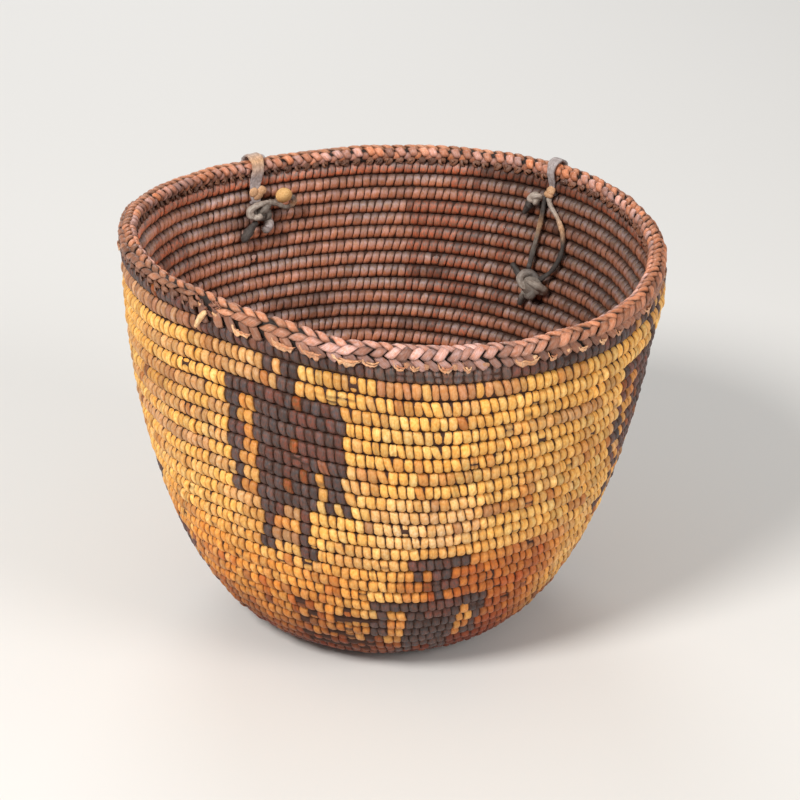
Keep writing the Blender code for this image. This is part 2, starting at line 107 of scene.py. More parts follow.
# Handmade unevenness read off the photograph, as (degrees, millimetres) round the basket: how far
# the rows hang below part.py's even ones, and how far the braid stands above its own place
ROW_DROP = ((-180, 3.4), (-160, 3.8), (-146, 3.2), (-138, 1.9), (-131, 0.5), (-120, 0.0), (-108, 1.7),
            (-97, 2.9), (-86, 4.1), (-78, 4.4), (-63, 3.2), (-50, 3.1), (-40, 4.0), (-24, 3.4), (5, 1.2),
            (30, 0.0), (150, 0.0), (166, 2.0))
RIM_LIFT = ((-150, 0.0), (-144, 0.2), (-138, 2.2), (-130, 2.5), (-124, 2.0), (-118, 1.8), (-111, 1.0),
            (-106, 0.4), (-100, -0.7), (-94, 0.0), (-62, 0.0), (-52, 0.9), (-44, 0.0))
# The braid's size as a share of its usual one, and the spacing of its splints in millimetres
RIM_SIZE = ((-157, 1.0), (-146, 0.78), (-138, 0.70), (-130, 0.76), (-122, 0.90), (-112, 1.0))
RIM_SPACING = ((170, 4.4), (-165, 4.7), (-150, 6.0), (-96, 6.2), (-90, 4.8), (-68, 4.7), (-60, 5.4),
               (-20, 4.6), (10, 4.6), (30, 5.4))
# Bulge of the rows under the braid at the right side: its size, and its middle and reach in
# degrees and in rows
BULGE_OUT = 0.0022
BULGE_DEGREES = (-4.0, 19)
BULGE_ROWS = (1, 1.7)


def round_curve(pairs):
    """Smooth closed curve through (degrees, size) pairs, as a size every half degree."""
    curve = interp(np.arange(720) / 2, *zip(*pairs), period=360)
    return sum(np.roll(curve, shift) for shift in range(-5, 6)) / 11


def on_curve(curve, angle):
    return interp(np.degrees(angle) % 360, np.arange(721) / 2, np.append(curve, curve[0]))


DROP_CURVE = MM * round_curve(ROW_DROP)
LIFT_CURVE = MM * round_curve(RIM_LIFT)
SIZE_CURVE = round_curve(RIM_SIZE)
SPACING_CURVE = MM * round_curve(RIM_SPACING)


def smooth_step(x):
    x = clip(x, 0, 1)
    return x * x * (3 - 2 * x)


def ramp(x, start, width):
    """Smooth rise from 0 at start to 1 a width further on, or further back if it is negative."""
    return smooth_step((x - start) / width)


def hump(x, middle, width):
    return exp(-((x - middle) / width) ** 2)


def squarish(wave, power):
    """Wave from -1 to 1 with fuller shoulders, the smaller the power."""
    return np.sign(wave) * np.abs(wave) ** power


def away(degrees, middle):
    """Degrees round the basket from a middle, from -180 to 180."""
    return (degrees - middle + 180) % 360 - 180


def rim_rise(turn_share):
    """Height gained by the rim after a share of the last turn, falling back over the coil's end."""
    share = where(turn_share < RISE_END, turn_share + 1, turn_share)
    falling = DROP_START + (RISE_END - DROP_START) * ramp(share, DROP_START, 1 + RISE_END - DROP_START)
    return ROW_PITCH * where(share <= DROP_START, share, falling)


MEAN_RISE = float(np.mean(rim_rise(np.arange(0, 1, 0.01))))
LAST_TURN = 1 + (RIM_REACH - MEAN_RISE - ROW_FLAT / 2 - BRAID_SEAT) / ROW_PITCH
HEEL_BOTTOM = LAST_TURN - math.floor((LAST_TURN - BASE_RADIUS / ROW_PITCH) * WALL_STEPS) / WALL_STEPS
HEEL_TOP = HEEL_BOTTOM + 5


def warp(angle, reach):
    """How far the handmade wall stands above its true height."""
    fade = clip(1 - (ROW_PITCH * (LAST_TURN - 1) - reach) / WARP_DEPTH, 0, 1)
    return fade * (SADDLE_HEIGHT * cos(2 * (angle - SADDLE_ANGLE)) - REAR_DROP * sin(angle))


def wall_points(angle, reach, out=0.0, up=0.0):
    """Points at angles round the basket and distances along its profile, moved out and up."""
    step = ROW_PITCH / 4
    radius, height = (interp(reach, REACH, side) for side in PROFILE.T)
    run, rise = (interp(reach + step, REACH, side) - interp(reach - step, REACH, side)
                 for side in PROFILE.T)
    length = np.hypot(run, rise)
    run = run / length
    rise = rise / length
    radius = radius + out * rise + up * run
    height = height + warp(angle, reach) + FOOT_LIFT - out * run + up * rise
    return np.stack((radius * cos(angle), radius * sin(angle), height), axis=-1)


def turn_angle(turn):
    return END_ANGLE + 2 * np.pi * (turn - LAST_TURN)


def share_of_turn(angle):
    return ((angle - END_ANGLE) / (2 * np.pi)) % 1


def below_border(angle, reach):
    """How far a place lies down the wall from the middle of the border row."""
    return ROW_PITCH * (LAST_TURN - 1 + share_of_turn(angle)) - reach


def end_thickness(turn):
    """Share of full thickness that the coil keeps where the rim comes down over its end."""
    share = turn - LAST_TURN + 1
    angle = turn_angle(turn)
    room = ROW_PITCH * (1 - share) + rim_rise(clip(share, 0, 1)) - ROW_GAP
    room = room + on_curve(LIFT_CURVE, angle) + 0.65 * on_curve(DROP_CURVE, angle)
    return where(share < DROP_START, 1.0, clip(room / ROW_FLAT, 0, 1))


def coil_reach(turn):
    """Distance along the profile of the coil's middle after some turns."""
    thick = end_thickness(turn)
    thin = ROW_PITCH * (turn - 1) + ROW_FLAT / 2 + ROW_GAP + thick * ROW_FLAT / 2
    return where(thick < 1, thin, ROW_PITCH * turn)


def wall_bulge(angle, reach):
    """How far the rows under the braid stand out at the basket's right side."""
    beside = away(np.degrees(angle), BULGE_DEGREES[0])
    rows_down = below_border(angle, reach) / ROW_PITCH
    return BULGE_OUT * hump(beside, 0, BULGE_DEGREES[1]) * hump(rows_down, *BULGE_ROWS)


def row_drop(angle, reach):
    """How far a place on the wall hangs below part.py's: less at the border, and none at the foot."""
    at_border = interp(below_border(angle, reach), (-2 * ROW_PITCH, 2 * ROW_PITCH), (0.06, 1.0))
    return on_curve(DROP_CURVE, angle) * at_border * interp(reach, (0.020, 0.060), (0, 1))


def wander(turn, speed, phase):
    """Slow handmade wandering along the coil, from -1 to 1."""
    waves = sin(speed * turn + phase) + sin(1.618 * speed * turn + 2.3 * phase)
    return (waves + sin(2.414 * speed * turn + 0.7 * phase)) / 3


def coil_points(turn, out, up):
    """Points on the coil after some turns, moved out and up from its middle."""
    angle = turn_angle(turn)
    reach = coil_reach(turn)
    sway = 0.00022 * wander(turn, 31.0, 1.3) + wall_bulge(angle, reach)
    lift = 0.00016 * wander(turn, 23.0, 4.1)
    taller = row_drop(angle, reach - ROW_PITCH / 2) - row_drop(angle, reach + ROW_PITCH / 2)
    drop = row_drop(angle, reach)
    return wall_points(angle, reach - drop, out + sway, up * (1 + taller / ROW_PITCH) + lift)


def coil_radius(turn):
    return interp(ROW_PITCH * turn, REACH, PROFILE[:, 0])


def rim_reach(angle):
    """Distance along the profile of the braid's middle."""
    return ROW_PITCH * (LAST_TURN - 1) + ROW_FLAT / 2 + BRAID_SEAT + rim_rise(share_of_turn(angle))


# Seeds of the random draws
COIL_SEED = 5031
RIM_SEED = 77
LEFT_TIE_SEED = 41
RIGHT_TIE_SEED = 42
STUB_SEED = 43
START_KNOT_SEED = 44

# Camera: fitted to the rim's outline and to the rows in the photograph
VIEW_DISTANCE = 1.100
VIEW_DOWN = math.radians(22.687)
VIEW_ROLL = math.radians(2.278)
FOCAL_PIXELS = 2669.3
FRAME_PIXELS = 800
RIM_PIXEL = (392.731, 239.949)
SENSOR_MM = 36.0


def add_camera():
    """Camera at the photograph's angle, turned until the rim's middle shows at its pixel."""
    rim_middle = Vector((0, 0, RIM_HEIGHT + FOOT_LIFT))
    forward = Vector((0, math.cos(VIEW_DOWN), -math.sin(VIEW_DOWN)))
    upright = Vector((0, math.sin(VIEW_DOWN), math.cos(VIEW_DOWN)))
    level = Vector((1, 0, 0))
    right = level * math.cos(VIEW_ROLL) + upright * math.sin(VIEW_ROLL)
    down = level * math.sin(VIEW_ROLL) - upright * math.cos(VIEW_ROLL)
    aside, below = (pixel - FRAME_PIXELS / 2 for pixel in RIM_PIXEL)
    pitch = math.atan(below / FOCAL_PIXELS)
    yaw = math.atan(aside / FOCAL_PIXELS * math.cos(pitch))
    turned_right = right * math.cos(yaw) + forward * math.sin(yaw)
    ahead = forward * math.cos(yaw) - right * math.sin(yaw)
    turned_down = down * math.cos(pitch) + ahead * math.sin(pitch)
    turned_ahead = ahead * math.cos(pitch) - down * math.sin(pitch)
    data = bpy.data.cameras.new("camera")
    data.sensor_width = SENSOR_MM
    data.lens = FOCAL_PIXELS / FRAME_PIXELS * SENSOR_MM
    data.clip_start = 0.05
    camera = bpy.data.objects.new("camera", data)
    axes = Matrix((turned_right, -turned_down, -turned_ahead)).transposed()
    camera.matrix_world = Matrix.Translation(rim_middle - forward * VIEW_DISTANCE) @ axes.to_4x4()
    bpy.context.scene.collection.objects.link(camera)
    bpy.context.scene.camera = camera


# Lamps: name, place, width, watts and colour
LAMPS = (
    ("key", (-0.82, -1.10, 1.36), 0.50, 28.0, (1.0, 0.98, 0.95)),
    ("fill", (1.25, -0.85, 0.95), 0.8, 9.6, (1.0, 0.98, 0.96)),
    ("back", (-0.3, 1.3, 1.0), 0.8, 6.5, (0.97, 0.98, 1.0)),
)
LAMP_AIM = Vector((0, 0, 0.08))
WORLD_COLOUR = (1.0, 0.99, 0.97, 1)
WORLD_STRENGTH = 0.36
FLOOR_COLOUR = (0.80, 0.79, 0.77, 1)
FLOOR_REACH = 6.0


def add_stage():
    """Pale floor and soft studio light."""
    world = bpy.data.worlds.new("studio")
    world.use_nodes = True
    background = world.node_tree.nodes["Background"]
    background.inputs["Color"].default_value = WORLD_COLOUR
    background.inputs["Strength"].default_value = WORLD_STRENGTH
    bpy.context.scene.world = world
    bpy.context.scene.view_settings.view_transform = "Standard"
    for name, place, size, watts, colour in LAMPS:
        data = bpy.data.lights.new(name, "AREA")
        data.shape = "DISK"
        data.size = size
        data.energy = watts
        data.color = colour
        lamp = bpy.data.objects.new(name, data)
        lamp.location = place
        lamp.rotation_euler = (LAMP_AIM - Vector(place)).to_track_quat("-Z", "Y").to_euler()
        bpy.context.scene.collection.objects.link(lamp)
    corners = FLOOR_REACH * np.array(((-1, -1, 0), (1, -1, 0), (1, 1, 0), (-1, 1, 0)))
    floor = add_mesh("floor", corners, np.arange(4)[None])
    paint = bpy.data.materials.new("pale_floor")
    paint.use_nodes = True
    shader = paint.node_tree.nodes["Principled BSDF"]
    shader.inputs["Base Color"].default_value = FLOOR_COLOUR
    shader.inputs["Roughness"].default_value = 0.9
    shader.inputs["Specular IOR Level"].default_value = 0.2
    floor.data.materials.append(paint)


# Strands are numbered up to this, at random, so that each has its own place in the noise
LAST_STRAND = 900


def add_mesh(name, vertices, quads, tint=None, strand=None, places=None):
    """Mesh of quads with its colours, its fibre directions and its map for baking.

    tint is a colour for each vertex. strand is, for each vertex, how far it lies along and
    across its strand in millimetres, and its strand's own number. places are the corners'
    positions in the map.
    """
    def flat(values, kind=np.float32):
        return np.ascontiguousarray(values, dtype=kind).ravel()

    mesh = bpy.data.meshes.new(name)
    mesh.vertices.add(len(vertices))
    mesh.vertices.foreach_set("co", flat(vertices))
    mesh.loops.add(4 * len(quads))
    mesh.loops.foreach_set("vertex_index", flat(quads, np.int32))
    mesh.polygons.add(len(quads))
    mesh.polygons.foreach_set("loop_start", np.arange(0, 4 * len(quads), 4, dtype=np.int32))
    mesh.update(calc_edges=True)
    if tint is not None:
        mesh.attributes.new("tint", "FLOAT_COLOR", "POINT").data.foreach_set("color", flat(tint))
        mesh.attributes.new("strand", "FLOAT_VECTOR", "POINT").data.foreach_set("vector", flat(strand))
    if places is not None:
        mesh.uv_layers.new(name="OFBake").data.foreach_set("uv", flat(places))
    mesh.shade_smooth()
    piece = bpy.data.objects.new(name, mesh)
    bpy.context.scene.collection.objects.link(piece)
    return piece


def place_piece(piece, slot, *nodes, body="basket"):
    """Paint a piece for its slot, and set its body and the CAD nodes that it replaces."""
    piece.data.materials.append(MATERIALS[slot])
    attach(piece, body)
    for node in nodes:
        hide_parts(node)
    return piece


def grid_steps(count, around, across, closed):
    """Number, ring and place of each quad in a number of grids of around x across vertices."""
    rings = around if closed else around - 1
    return rings, np.meshgrid(np.arange(count), np.arange(rings), np.arange(across - 1), indexing="ij")


def grid_quads(count, around, across, closed):
    """Quads of those grids."""
    _, (grid, ring, place) = grid_steps(count, around, across, closed)
    here = (grid * around + ring) * across + place
    after = (grid * around + (ring + 1) % around) * across + place
    return np.stack((here, here + 1, after + 1, after), axis=-1).reshape(-1, 4)


def grid_places(count, around, across, closed, shape):
    """Map positions of those quads' corners, with a cell of its own for each grid.

    shape is a grid's length over its width.
    """
    rings, (grid, ring, place) = grid_steps(count, around, across, closed)
    columns = max(1, math.ceil(math.sqrt(count / shape)))
    rows = math.ceil(count / columns)
    margin = 0.04
    corners = []
    for step_along, step_across in ((0, 0), (0, 1), (1, 1), (1, 0)):
        u = (grid % columns + margin + (1 - 2 * margin) * (ring + step_along) / rings) / columns
        v = (grid // columns + margin + (1 - 2 * margin) * (place + step_across) / (across - 1)) / rows
        corners.append(np.stack((u, v), axis=-1))
    return np.stack(corners, axis=-2).reshape(-1, 2)


def mix(a, b, share):
    """Blend of two colours; share has one number for each place."""
    share = np.asarray(share)[..., None]
    return a * (1 - share) + b * share


def choose(mask, a, b):
    """Colour a where the mask holds, and b elsewhere."""
    return where(mask[:, None], a, b)


NOISE_TABLE = 128


def lattice_noise(x, y, seed):
    """Smooth noise from 0 to 1 over a plane, with one bump to each unit."""
    table = np.random.default_rng(seed).random((NOISE_TABLE, NOISE_TABLE))
    column = np.floor(x).astype(int)
    row = np.floor(y).astype(int)
    right = smooth_step(x - column)
    above = smooth_step(y - row)

    def along(line):
        line = line % NOISE_TABLE
        here = table[line, column % NOISE_TABLE]
        return here * (1 - right) + table[line, (column + 1) % NOISE_TABLE] * right

    return along(row) * (1 - above) + along(row + 1) * above


def patches(degrees, row, wide, tall, seed):
    """Smooth noise over the wall, with bumps of so many degrees and rows, joined up all round."""
    count = max(1, round(360 / wide))
    x = (degrees % 360) / 360 * count
    here = lattice_noise(x, row / tall, seed)
    back = lattice_noise(x - count, row / tall, seed)
    seam = smooth_step(x - count + 1)
    return here * (1 - seam) + back * seam


# Colours of the splints, as the light itself would mix them
GOLD = np.array((0.93, 0.515, 0.122))
PALE = np.array((0.95, 0.67, 0.250))
TAN = np.array((0.74, 0.43, 0.17))
ORANGE = np.array((0.58, 0.19, 0.036))
BROWN = np.array((0.30, 0.105, 0.038))
PINKISH = np.array((0.52, 0.270, 0.160))
REDDISH = np.array((0.36, 0.135, 0.070))
DARK = np.array((0.098, 0.066, 0.058))
DARK_RED = np.array((0.150, 0.064, 0.046))
CREAM = np.array((0.90, 0.66, 0.34))
FAIR = np.array((0.93, 0.62, 0.34))
# Grey of the front border's dark splints: partly their own grey, partly a painted sheen
GREY_AND_SHEEN = np.array((0.20, 0.165, 0.145))
# Inside colours: the upper one's grey is partly a painted sheen
INSIDE_UPPER = np.array((0.45, 0.310, 0.270))
INSIDE_LOWER = np.array((0.60, 0.225, 0.120))
INSIDE_DARK = np.array((0.150, 0.080, 0.062))
# Dark brown of the foundation, also used as painted shade in the stitches' crevices and hollows
FOUNDATION_AND_SHADE = np.array((0.060, 0.022, 0.012))

# Figures, by row down from the rim: dark and orange runs in degrees from their middle
UPPER_FIGURE = {
    2: ((-3.6, -2.2, "d"), (-0.9, 0.9, "d"), (2.2, 3.8, "d")),
    3: ((-1.2, 2.2, "d"),),
    4: ((-13.8, 13.2, "d"),),
    5: ((-13.5, -9.5, "d"), (-9.5, -6.3, "o"), (-6.3, 13.0, "d")),
    6: ((-13.5, -10, "d"), (-10, -6, "o"), (-6, 13, "d")),
    7: ((-13.5, -10, "d"), (-10, -6, "o"), (-6, 13, "d")),
    8: ((-13.5, -10, "d"), (-10, -6.3, "o"), (-6.3, 7.5, "d"), (7.5, 9.6, "r"), (9.6, 13.2, "d")),
    9: ((-13.4, -10, "d"), (-10, -6.4, "o"), (-6.4, 7.9, "d"), (7.9, 9.7, "o"), (9.7, 13.2, "d")),
    10: ((-13.2, -10, "d"), (-6.4, 7.4, "d"), (9.3, 13.2, "d")),
    11: ((-13.2, -11.5, "d"), (-11.5, -9.2, "o"), (-9.2, -8, "d"), (-8, -6.4, "o"), (-6.4, 6.5, "d"),
         (9, 11.3, "d"), (13, 15, "d")),
    12: ((-5.5, -1.6, "d"), (-1.6, 3.0, "b"), (3.0, 6.1, "d")),
    13: ((-5.6, -3.2, "d"), (-3.2, 2.9, "o"), (2.9, 5.9, "d")),
    14: ((-6, -3.2, "d"), (-3.2, 2.5, "b"), (2.5, 5.2, "d")),
    15: ((-8.7, -3.6, "d"), (2.1, 6.5, "d")),
}
LOWER_FIGURE = {
    16: ((-7.9, 7.5, "d"),),
    17: ((-5.5, -3.7, "d"), (-1.5, 4.3, "d")),
    18: ((-3.2, 5.0, "d"),),
    19: ((-0.6, 3.1, "d"),),
    20: ((-15.5, 15.5, "d"),),
    21: ((-15.5, -11.8, "d"), (-11.8, -7.3, "o"), (-7.3, 9.6, "d"), (9.6, 12.5, "o"), (12.5, 15.5, "d")),
    22: ((-16, -11.6, "d"), (-11.6, -6, "o"), (-6, 9.5, "d"), (9.5, 12.6, "o"), (12.6, 16.2, "d")),
    23: ((-16.4, -12, "d"), (-12, -6, "o"), (-6, 9.5, "d"), (9.5, 13, "o"), (13, 16.8, "d")),
    24: ((-16.8, -12.4, "d"), (-12.4, -5.8, "o"), (-5.8, 9.2, "d"), (9.2, 13.4, "o"), (13.4, 17.4, "d")),
    25: ((-5.6, 9.0, "d"),),
    26: ((-8.5, -3.0, "d"), (4.4, 10, "d")),
    27: ((-9.0, -3.2, "d"), (4.8, 11, "d")),
}
# Middles of the copies of each figure in degrees, with the rows that its copy is moved down
UPPER_COPIES = ((-111.5, 0), (-16.5, 0), (73.0, 0), (161.0, 0))
LOWER_COPIES = ((-75.5, -1), (-168.0, -1), (18.0, 0), (108.0, 0))


def figure_marks(degrees, row):
    """Letter of the figure's colour on each stitch, or an empty one outside the figures."""
    marks = np.full(len(degrees), " ")
    whole_row = np.floor(row + 0.5).astype(int)
    for figure, copies in ((UPPER_FIGURE, UPPER_COPIES), (LOWER_FIGURE, LOWER_COPIES)):
        for middle, rows_down in copies:
            beside = away(degrees, middle)
            for figure_row, runs in figure.items():
                for low, high, mark in runs:
                    marks[(whole_row == figure_row + rows_down) & (beside >= low) & (beside < high)] = mark
    return marks


def stitch_looks(turn, rng):
    """Outside colour, colours of the inside's upper and lower half, and darkness of each stitch."""
    count = len(turn)
    degrees = np.degrees(turn_angle(turn)) % 360
    row = LAST_TURN - turn + share_of_turn(turn_angle(turn))
    marks = figure_marks(degrees, row)

    def some():
        return rng.random(count)

    def varied(spread, low, high):
        return clip(1 + spread * rng.standard_normal(count), low, high)

    def patch(wide, tall, seed):
        return patches(degrees, row, wide, tall, seed)

    def within(top, bottom, left, right):
        return (row > top) & (row < bottom) & (degrees > left) & (degrees < right)

    def filtered(colour, red, green, blue, share):
        return colour * mix(np.ones(3), np.array((red, green, blue)), share)

    # Gold ground: mottled by stitch, in slow patches and in bands along the rows
    speck = some()
    colour = mix(GOLD, PALE, ramp(speck, 0.35, 0.65) * (0.30 + 0.55 * patch(30, 5.0, 12)))
    tan = ramp(patch(15, 1.6, 13) * 0.75 + 0.4 * some(), 0.66, 0.22)
    colour = mix(colour, TAN, 0.6 * tan)
    low = ramp(row, 15, 9)
    left_side = ramp(np.abs(away(degrees, 208)), 44, -26)
    orange = ramp(patch(18, 2.2, 14) + 0.5 * some() + 0.52 * low - 0.2 * left_side * (1 - low), 1.10, 0.22)
    colour = mix(colour, mix(ORANGE, BROWN, 0.35 * some()), 0.85 * orange)
    banded = (np.floor(row + 0.5) % 2 == 0) * ramp(row, 15, -8) * ramp(row, 4, 2)
    fade = ramp(left_side + 0.35 * patch(10, 0.9, 18), 0.42, 0.4)
    colour = mix(colour, mix(PINKISH, TAN, 0.3 + 0.5 * some()), 0.75 * fade * banded)
    colour = mix(colour, PINKISH, 0.5 * ramp(patch(24, 1.1, 11), 0.74, 0.14))
    worn = ramp(patch(7, 0.8, 21), 0.70, 0.10)
    colour = mix(colour, mix(BROWN, ORANGE, 0.7 * some()), 0.6 * worn * some())
    lone = some()
    colour = choose(lone < 0.005 + 0.035 * low, mix(BROWN, colour, 0.3 * some()), colour)
    colour = choose(lone > 0.985 - 0.05 * low, mix(ORANGE, colour, 0.5 * some()), colour)

    # Stained at the lower right, soiled at the lower left, fair in the middle, and darker at the foot with
    # painted shade
    stained = ramp(np.abs(away(degrees, 299)), 30, -18) * ramp(row, 13.2, 3)
    colour = mix(colour, mix(ORANGE, BROWN, 0.8 * some()), 0.8 * stained * some() ** 0.3)
    colour = filtered(colour, 0.90, 0.58, 0.33, stained)
    soiled = ramp(row, 13.0, 5) * ramp(degrees, 175, 20) * ramp(degrees, 280, -24)
    colour = filtered(colour, 0.88, 0.60, 0.34, soiled * (0.4 + 0.6 * some()))
    fair = ramp(np.abs(degrees - 281), 16, -10) * ramp(np.abs(row - 11.8), 2.6, -1.6)
    colour = mix(colour, FAIR, 0.75 * fair * some() ** 0.5)
    # Painted shade: the lowest rows go darker towards the foot
    colour = filtered(colour, 0.35, 0.205, 0.120, ramp(row, 17.5, 8.5))
    colour = colour * mix(np.array((0.93, 0.86, 0.76)), np.array((1.07, 1.06, 1.02)), patch(12, 2.4, 15))

    # Redder row under the dark border
    reddish = within(1.5, 2.5, 268, 297) & (some() < 0.9)
    colour = choose(reddish, mix(mix(PINKISH, ORANGE, 0.5), GOLD, 0.32 * some()), colour)

    # Dark splints: grey-brown, with redder ones among them
    red_share = ramp(patch(9, 1.8, 16) * 0.7 + 0.5 * some(), 0.62, 0.2)
    dark = mix(DARK * (0.72 + 0.36 * some())[:, None], DARK_RED, 0.85 * red_share)
    dark = choose(some() < 0.03, ORANGE * 0.42, dark)
    border = row < 1.5
    lighter = border & ((degrees > 325) | (degrees < 20)) & (some() < 0.3)
    near_stub = within(-1, 1.5, 230, 243) & (some() < 0.15)
    is_dark = border & ~lighter & ~near_stub | (marks == "d")
    # At the front the border's dark splints turn a lighter grey: partly their own grey, partly a painted
    # sheen
    grey_and_sheen = smooth_step(border * ramp(degrees, 262, 8) * ramp(degrees, 298, -8))
    dark = mix(dark, GREY_AND_SHEEN, 0.7 * grey_and_sheen * some() ** 0.4)
    colour = choose(is_dark, dark, colour)

    # Other stitches of the figures and border, and the smooth length left of the coil's end: each
    # stitch is at least so far from the first colour to the second, and up to so much further
    for mask, first, second, least, spread in (
            (marks == "o", GOLD, ORANGE, 0.35, 0.6),
            (marks == "b", TAN, BROWN, 0.2, 0.6),
            (marks == "r", REDDISH, BROWN, 0, 1),
            (lighter, BROWN, GOLD, 0, 0.6),
            (near_stub, DARK_RED, BROWN, 0, 1),
            (within(1.5, 2.6, 178, 229), mix(PINKISH, TAN, 0.4), REDDISH, 0, 0.8)):
        colour = choose(mask, mix(first, second, least + spread * some()), colour)
    colour = colour * varied(0.11, 0.7, 1.3)[:, None]

    # Inside: aged and dull, redder on the lower half of each stitch, greyer on the upper half, where the
    # grey is partly a painted sheen
    tone = patch(16, 1.3, 17) * 0.85 + 0.25 * some()
    red = ramp(patch(12, 1.1, 19), 0.40, 0.35)
    inner_top = mix(INSIDE_UPPER, INSIDE_LOWER, 0.45 * red)
    inner_top = mix(inner_top, INSIDE_DARK, 0.85 * ramp(tone, 0.58, -0.45))
    inner_low = mix(INSIDE_LOWER, INSIDE_DARK, 0.75 * ramp(tone, 0.50, -0.45))
    level = where(is_dark, 0.72, 1.0) * varied(0.12, 0.7, 1.35) * (1 + 0.25 * ramp(row, 2, -1))
    # Painted shade on the inside of the right wall, and painted light on the inside of the left wall
    from_right = np.abs(away(degrees, 0))
    level = level * (1 - 0.36 * ramp(from_right, 75, -30) + 0.42 * ramp(from_right, 115, 30))
    return colour, inner_top * level[:, None], inner_low * level[:, None], is_dark


# A stitch's rings of points: degrees round the coil from its outside, then shares of its half width
# and how deep it lies at each
OUTSIDE_STEPS = (-90, -70, -52, -35, -18, 0, 18, 35, 50, 63, 76, 90)
INSIDE_STEPS = (112, 135, 160, 180, 200, 225, 248)
RING = np.radians(OUTSIDE_STEPS + INSIDE_STEPS)
ACROSS = np.array((-1, -0.93, -0.6, 0, 0.6, 0.93, 1))
EDGE_DEPTHS = np.array((0.00100, 0.00026, 0.00004, -0.00004, 0.00004, 0.00026, 0.00100))
SQUARENESS = 2.35
HALF_DEPTH = 0.00305
HALF_HEIGHT = 0.00306
STITCH_WIDTH = 0.00360
FIRST_STITCH = 1.0
PIT_DEPTH = 0.0011
CRACK_DEPTH = 0.0008
GROOVE_DEPTH = 0.00028
NO_CRACK = -900.0
FLOOR_CLEARANCE = 0.00008
# Degrees to a radian, rounded, for how far the fibres run round a stitch
ROUNDED_RADIAN = 57.3


def walk_stitches(rng):
    """Middles of the stitches in turns, from the coil's end under the rim to its start, and widths."""
    turns = []
    widths = []
    turn = LAST_TURN - 0.004
    while turn > FIRST_STITCH:
        width = STITCH_WIDTH * float(clip(1 + 0.09 * rng.standard_normal(), 0.78, 1.3))
        width *= 1 + 0.06 * float(wander(turn, 9.0, 0.4))
        step = width / (2 * np.pi * float(coil_radius(turn)))
        turns.append(turn - step / 2)
        widths.append(width)
        turn -= step
    return np.array(turns)[::-1], np.array(widths)[::-1]


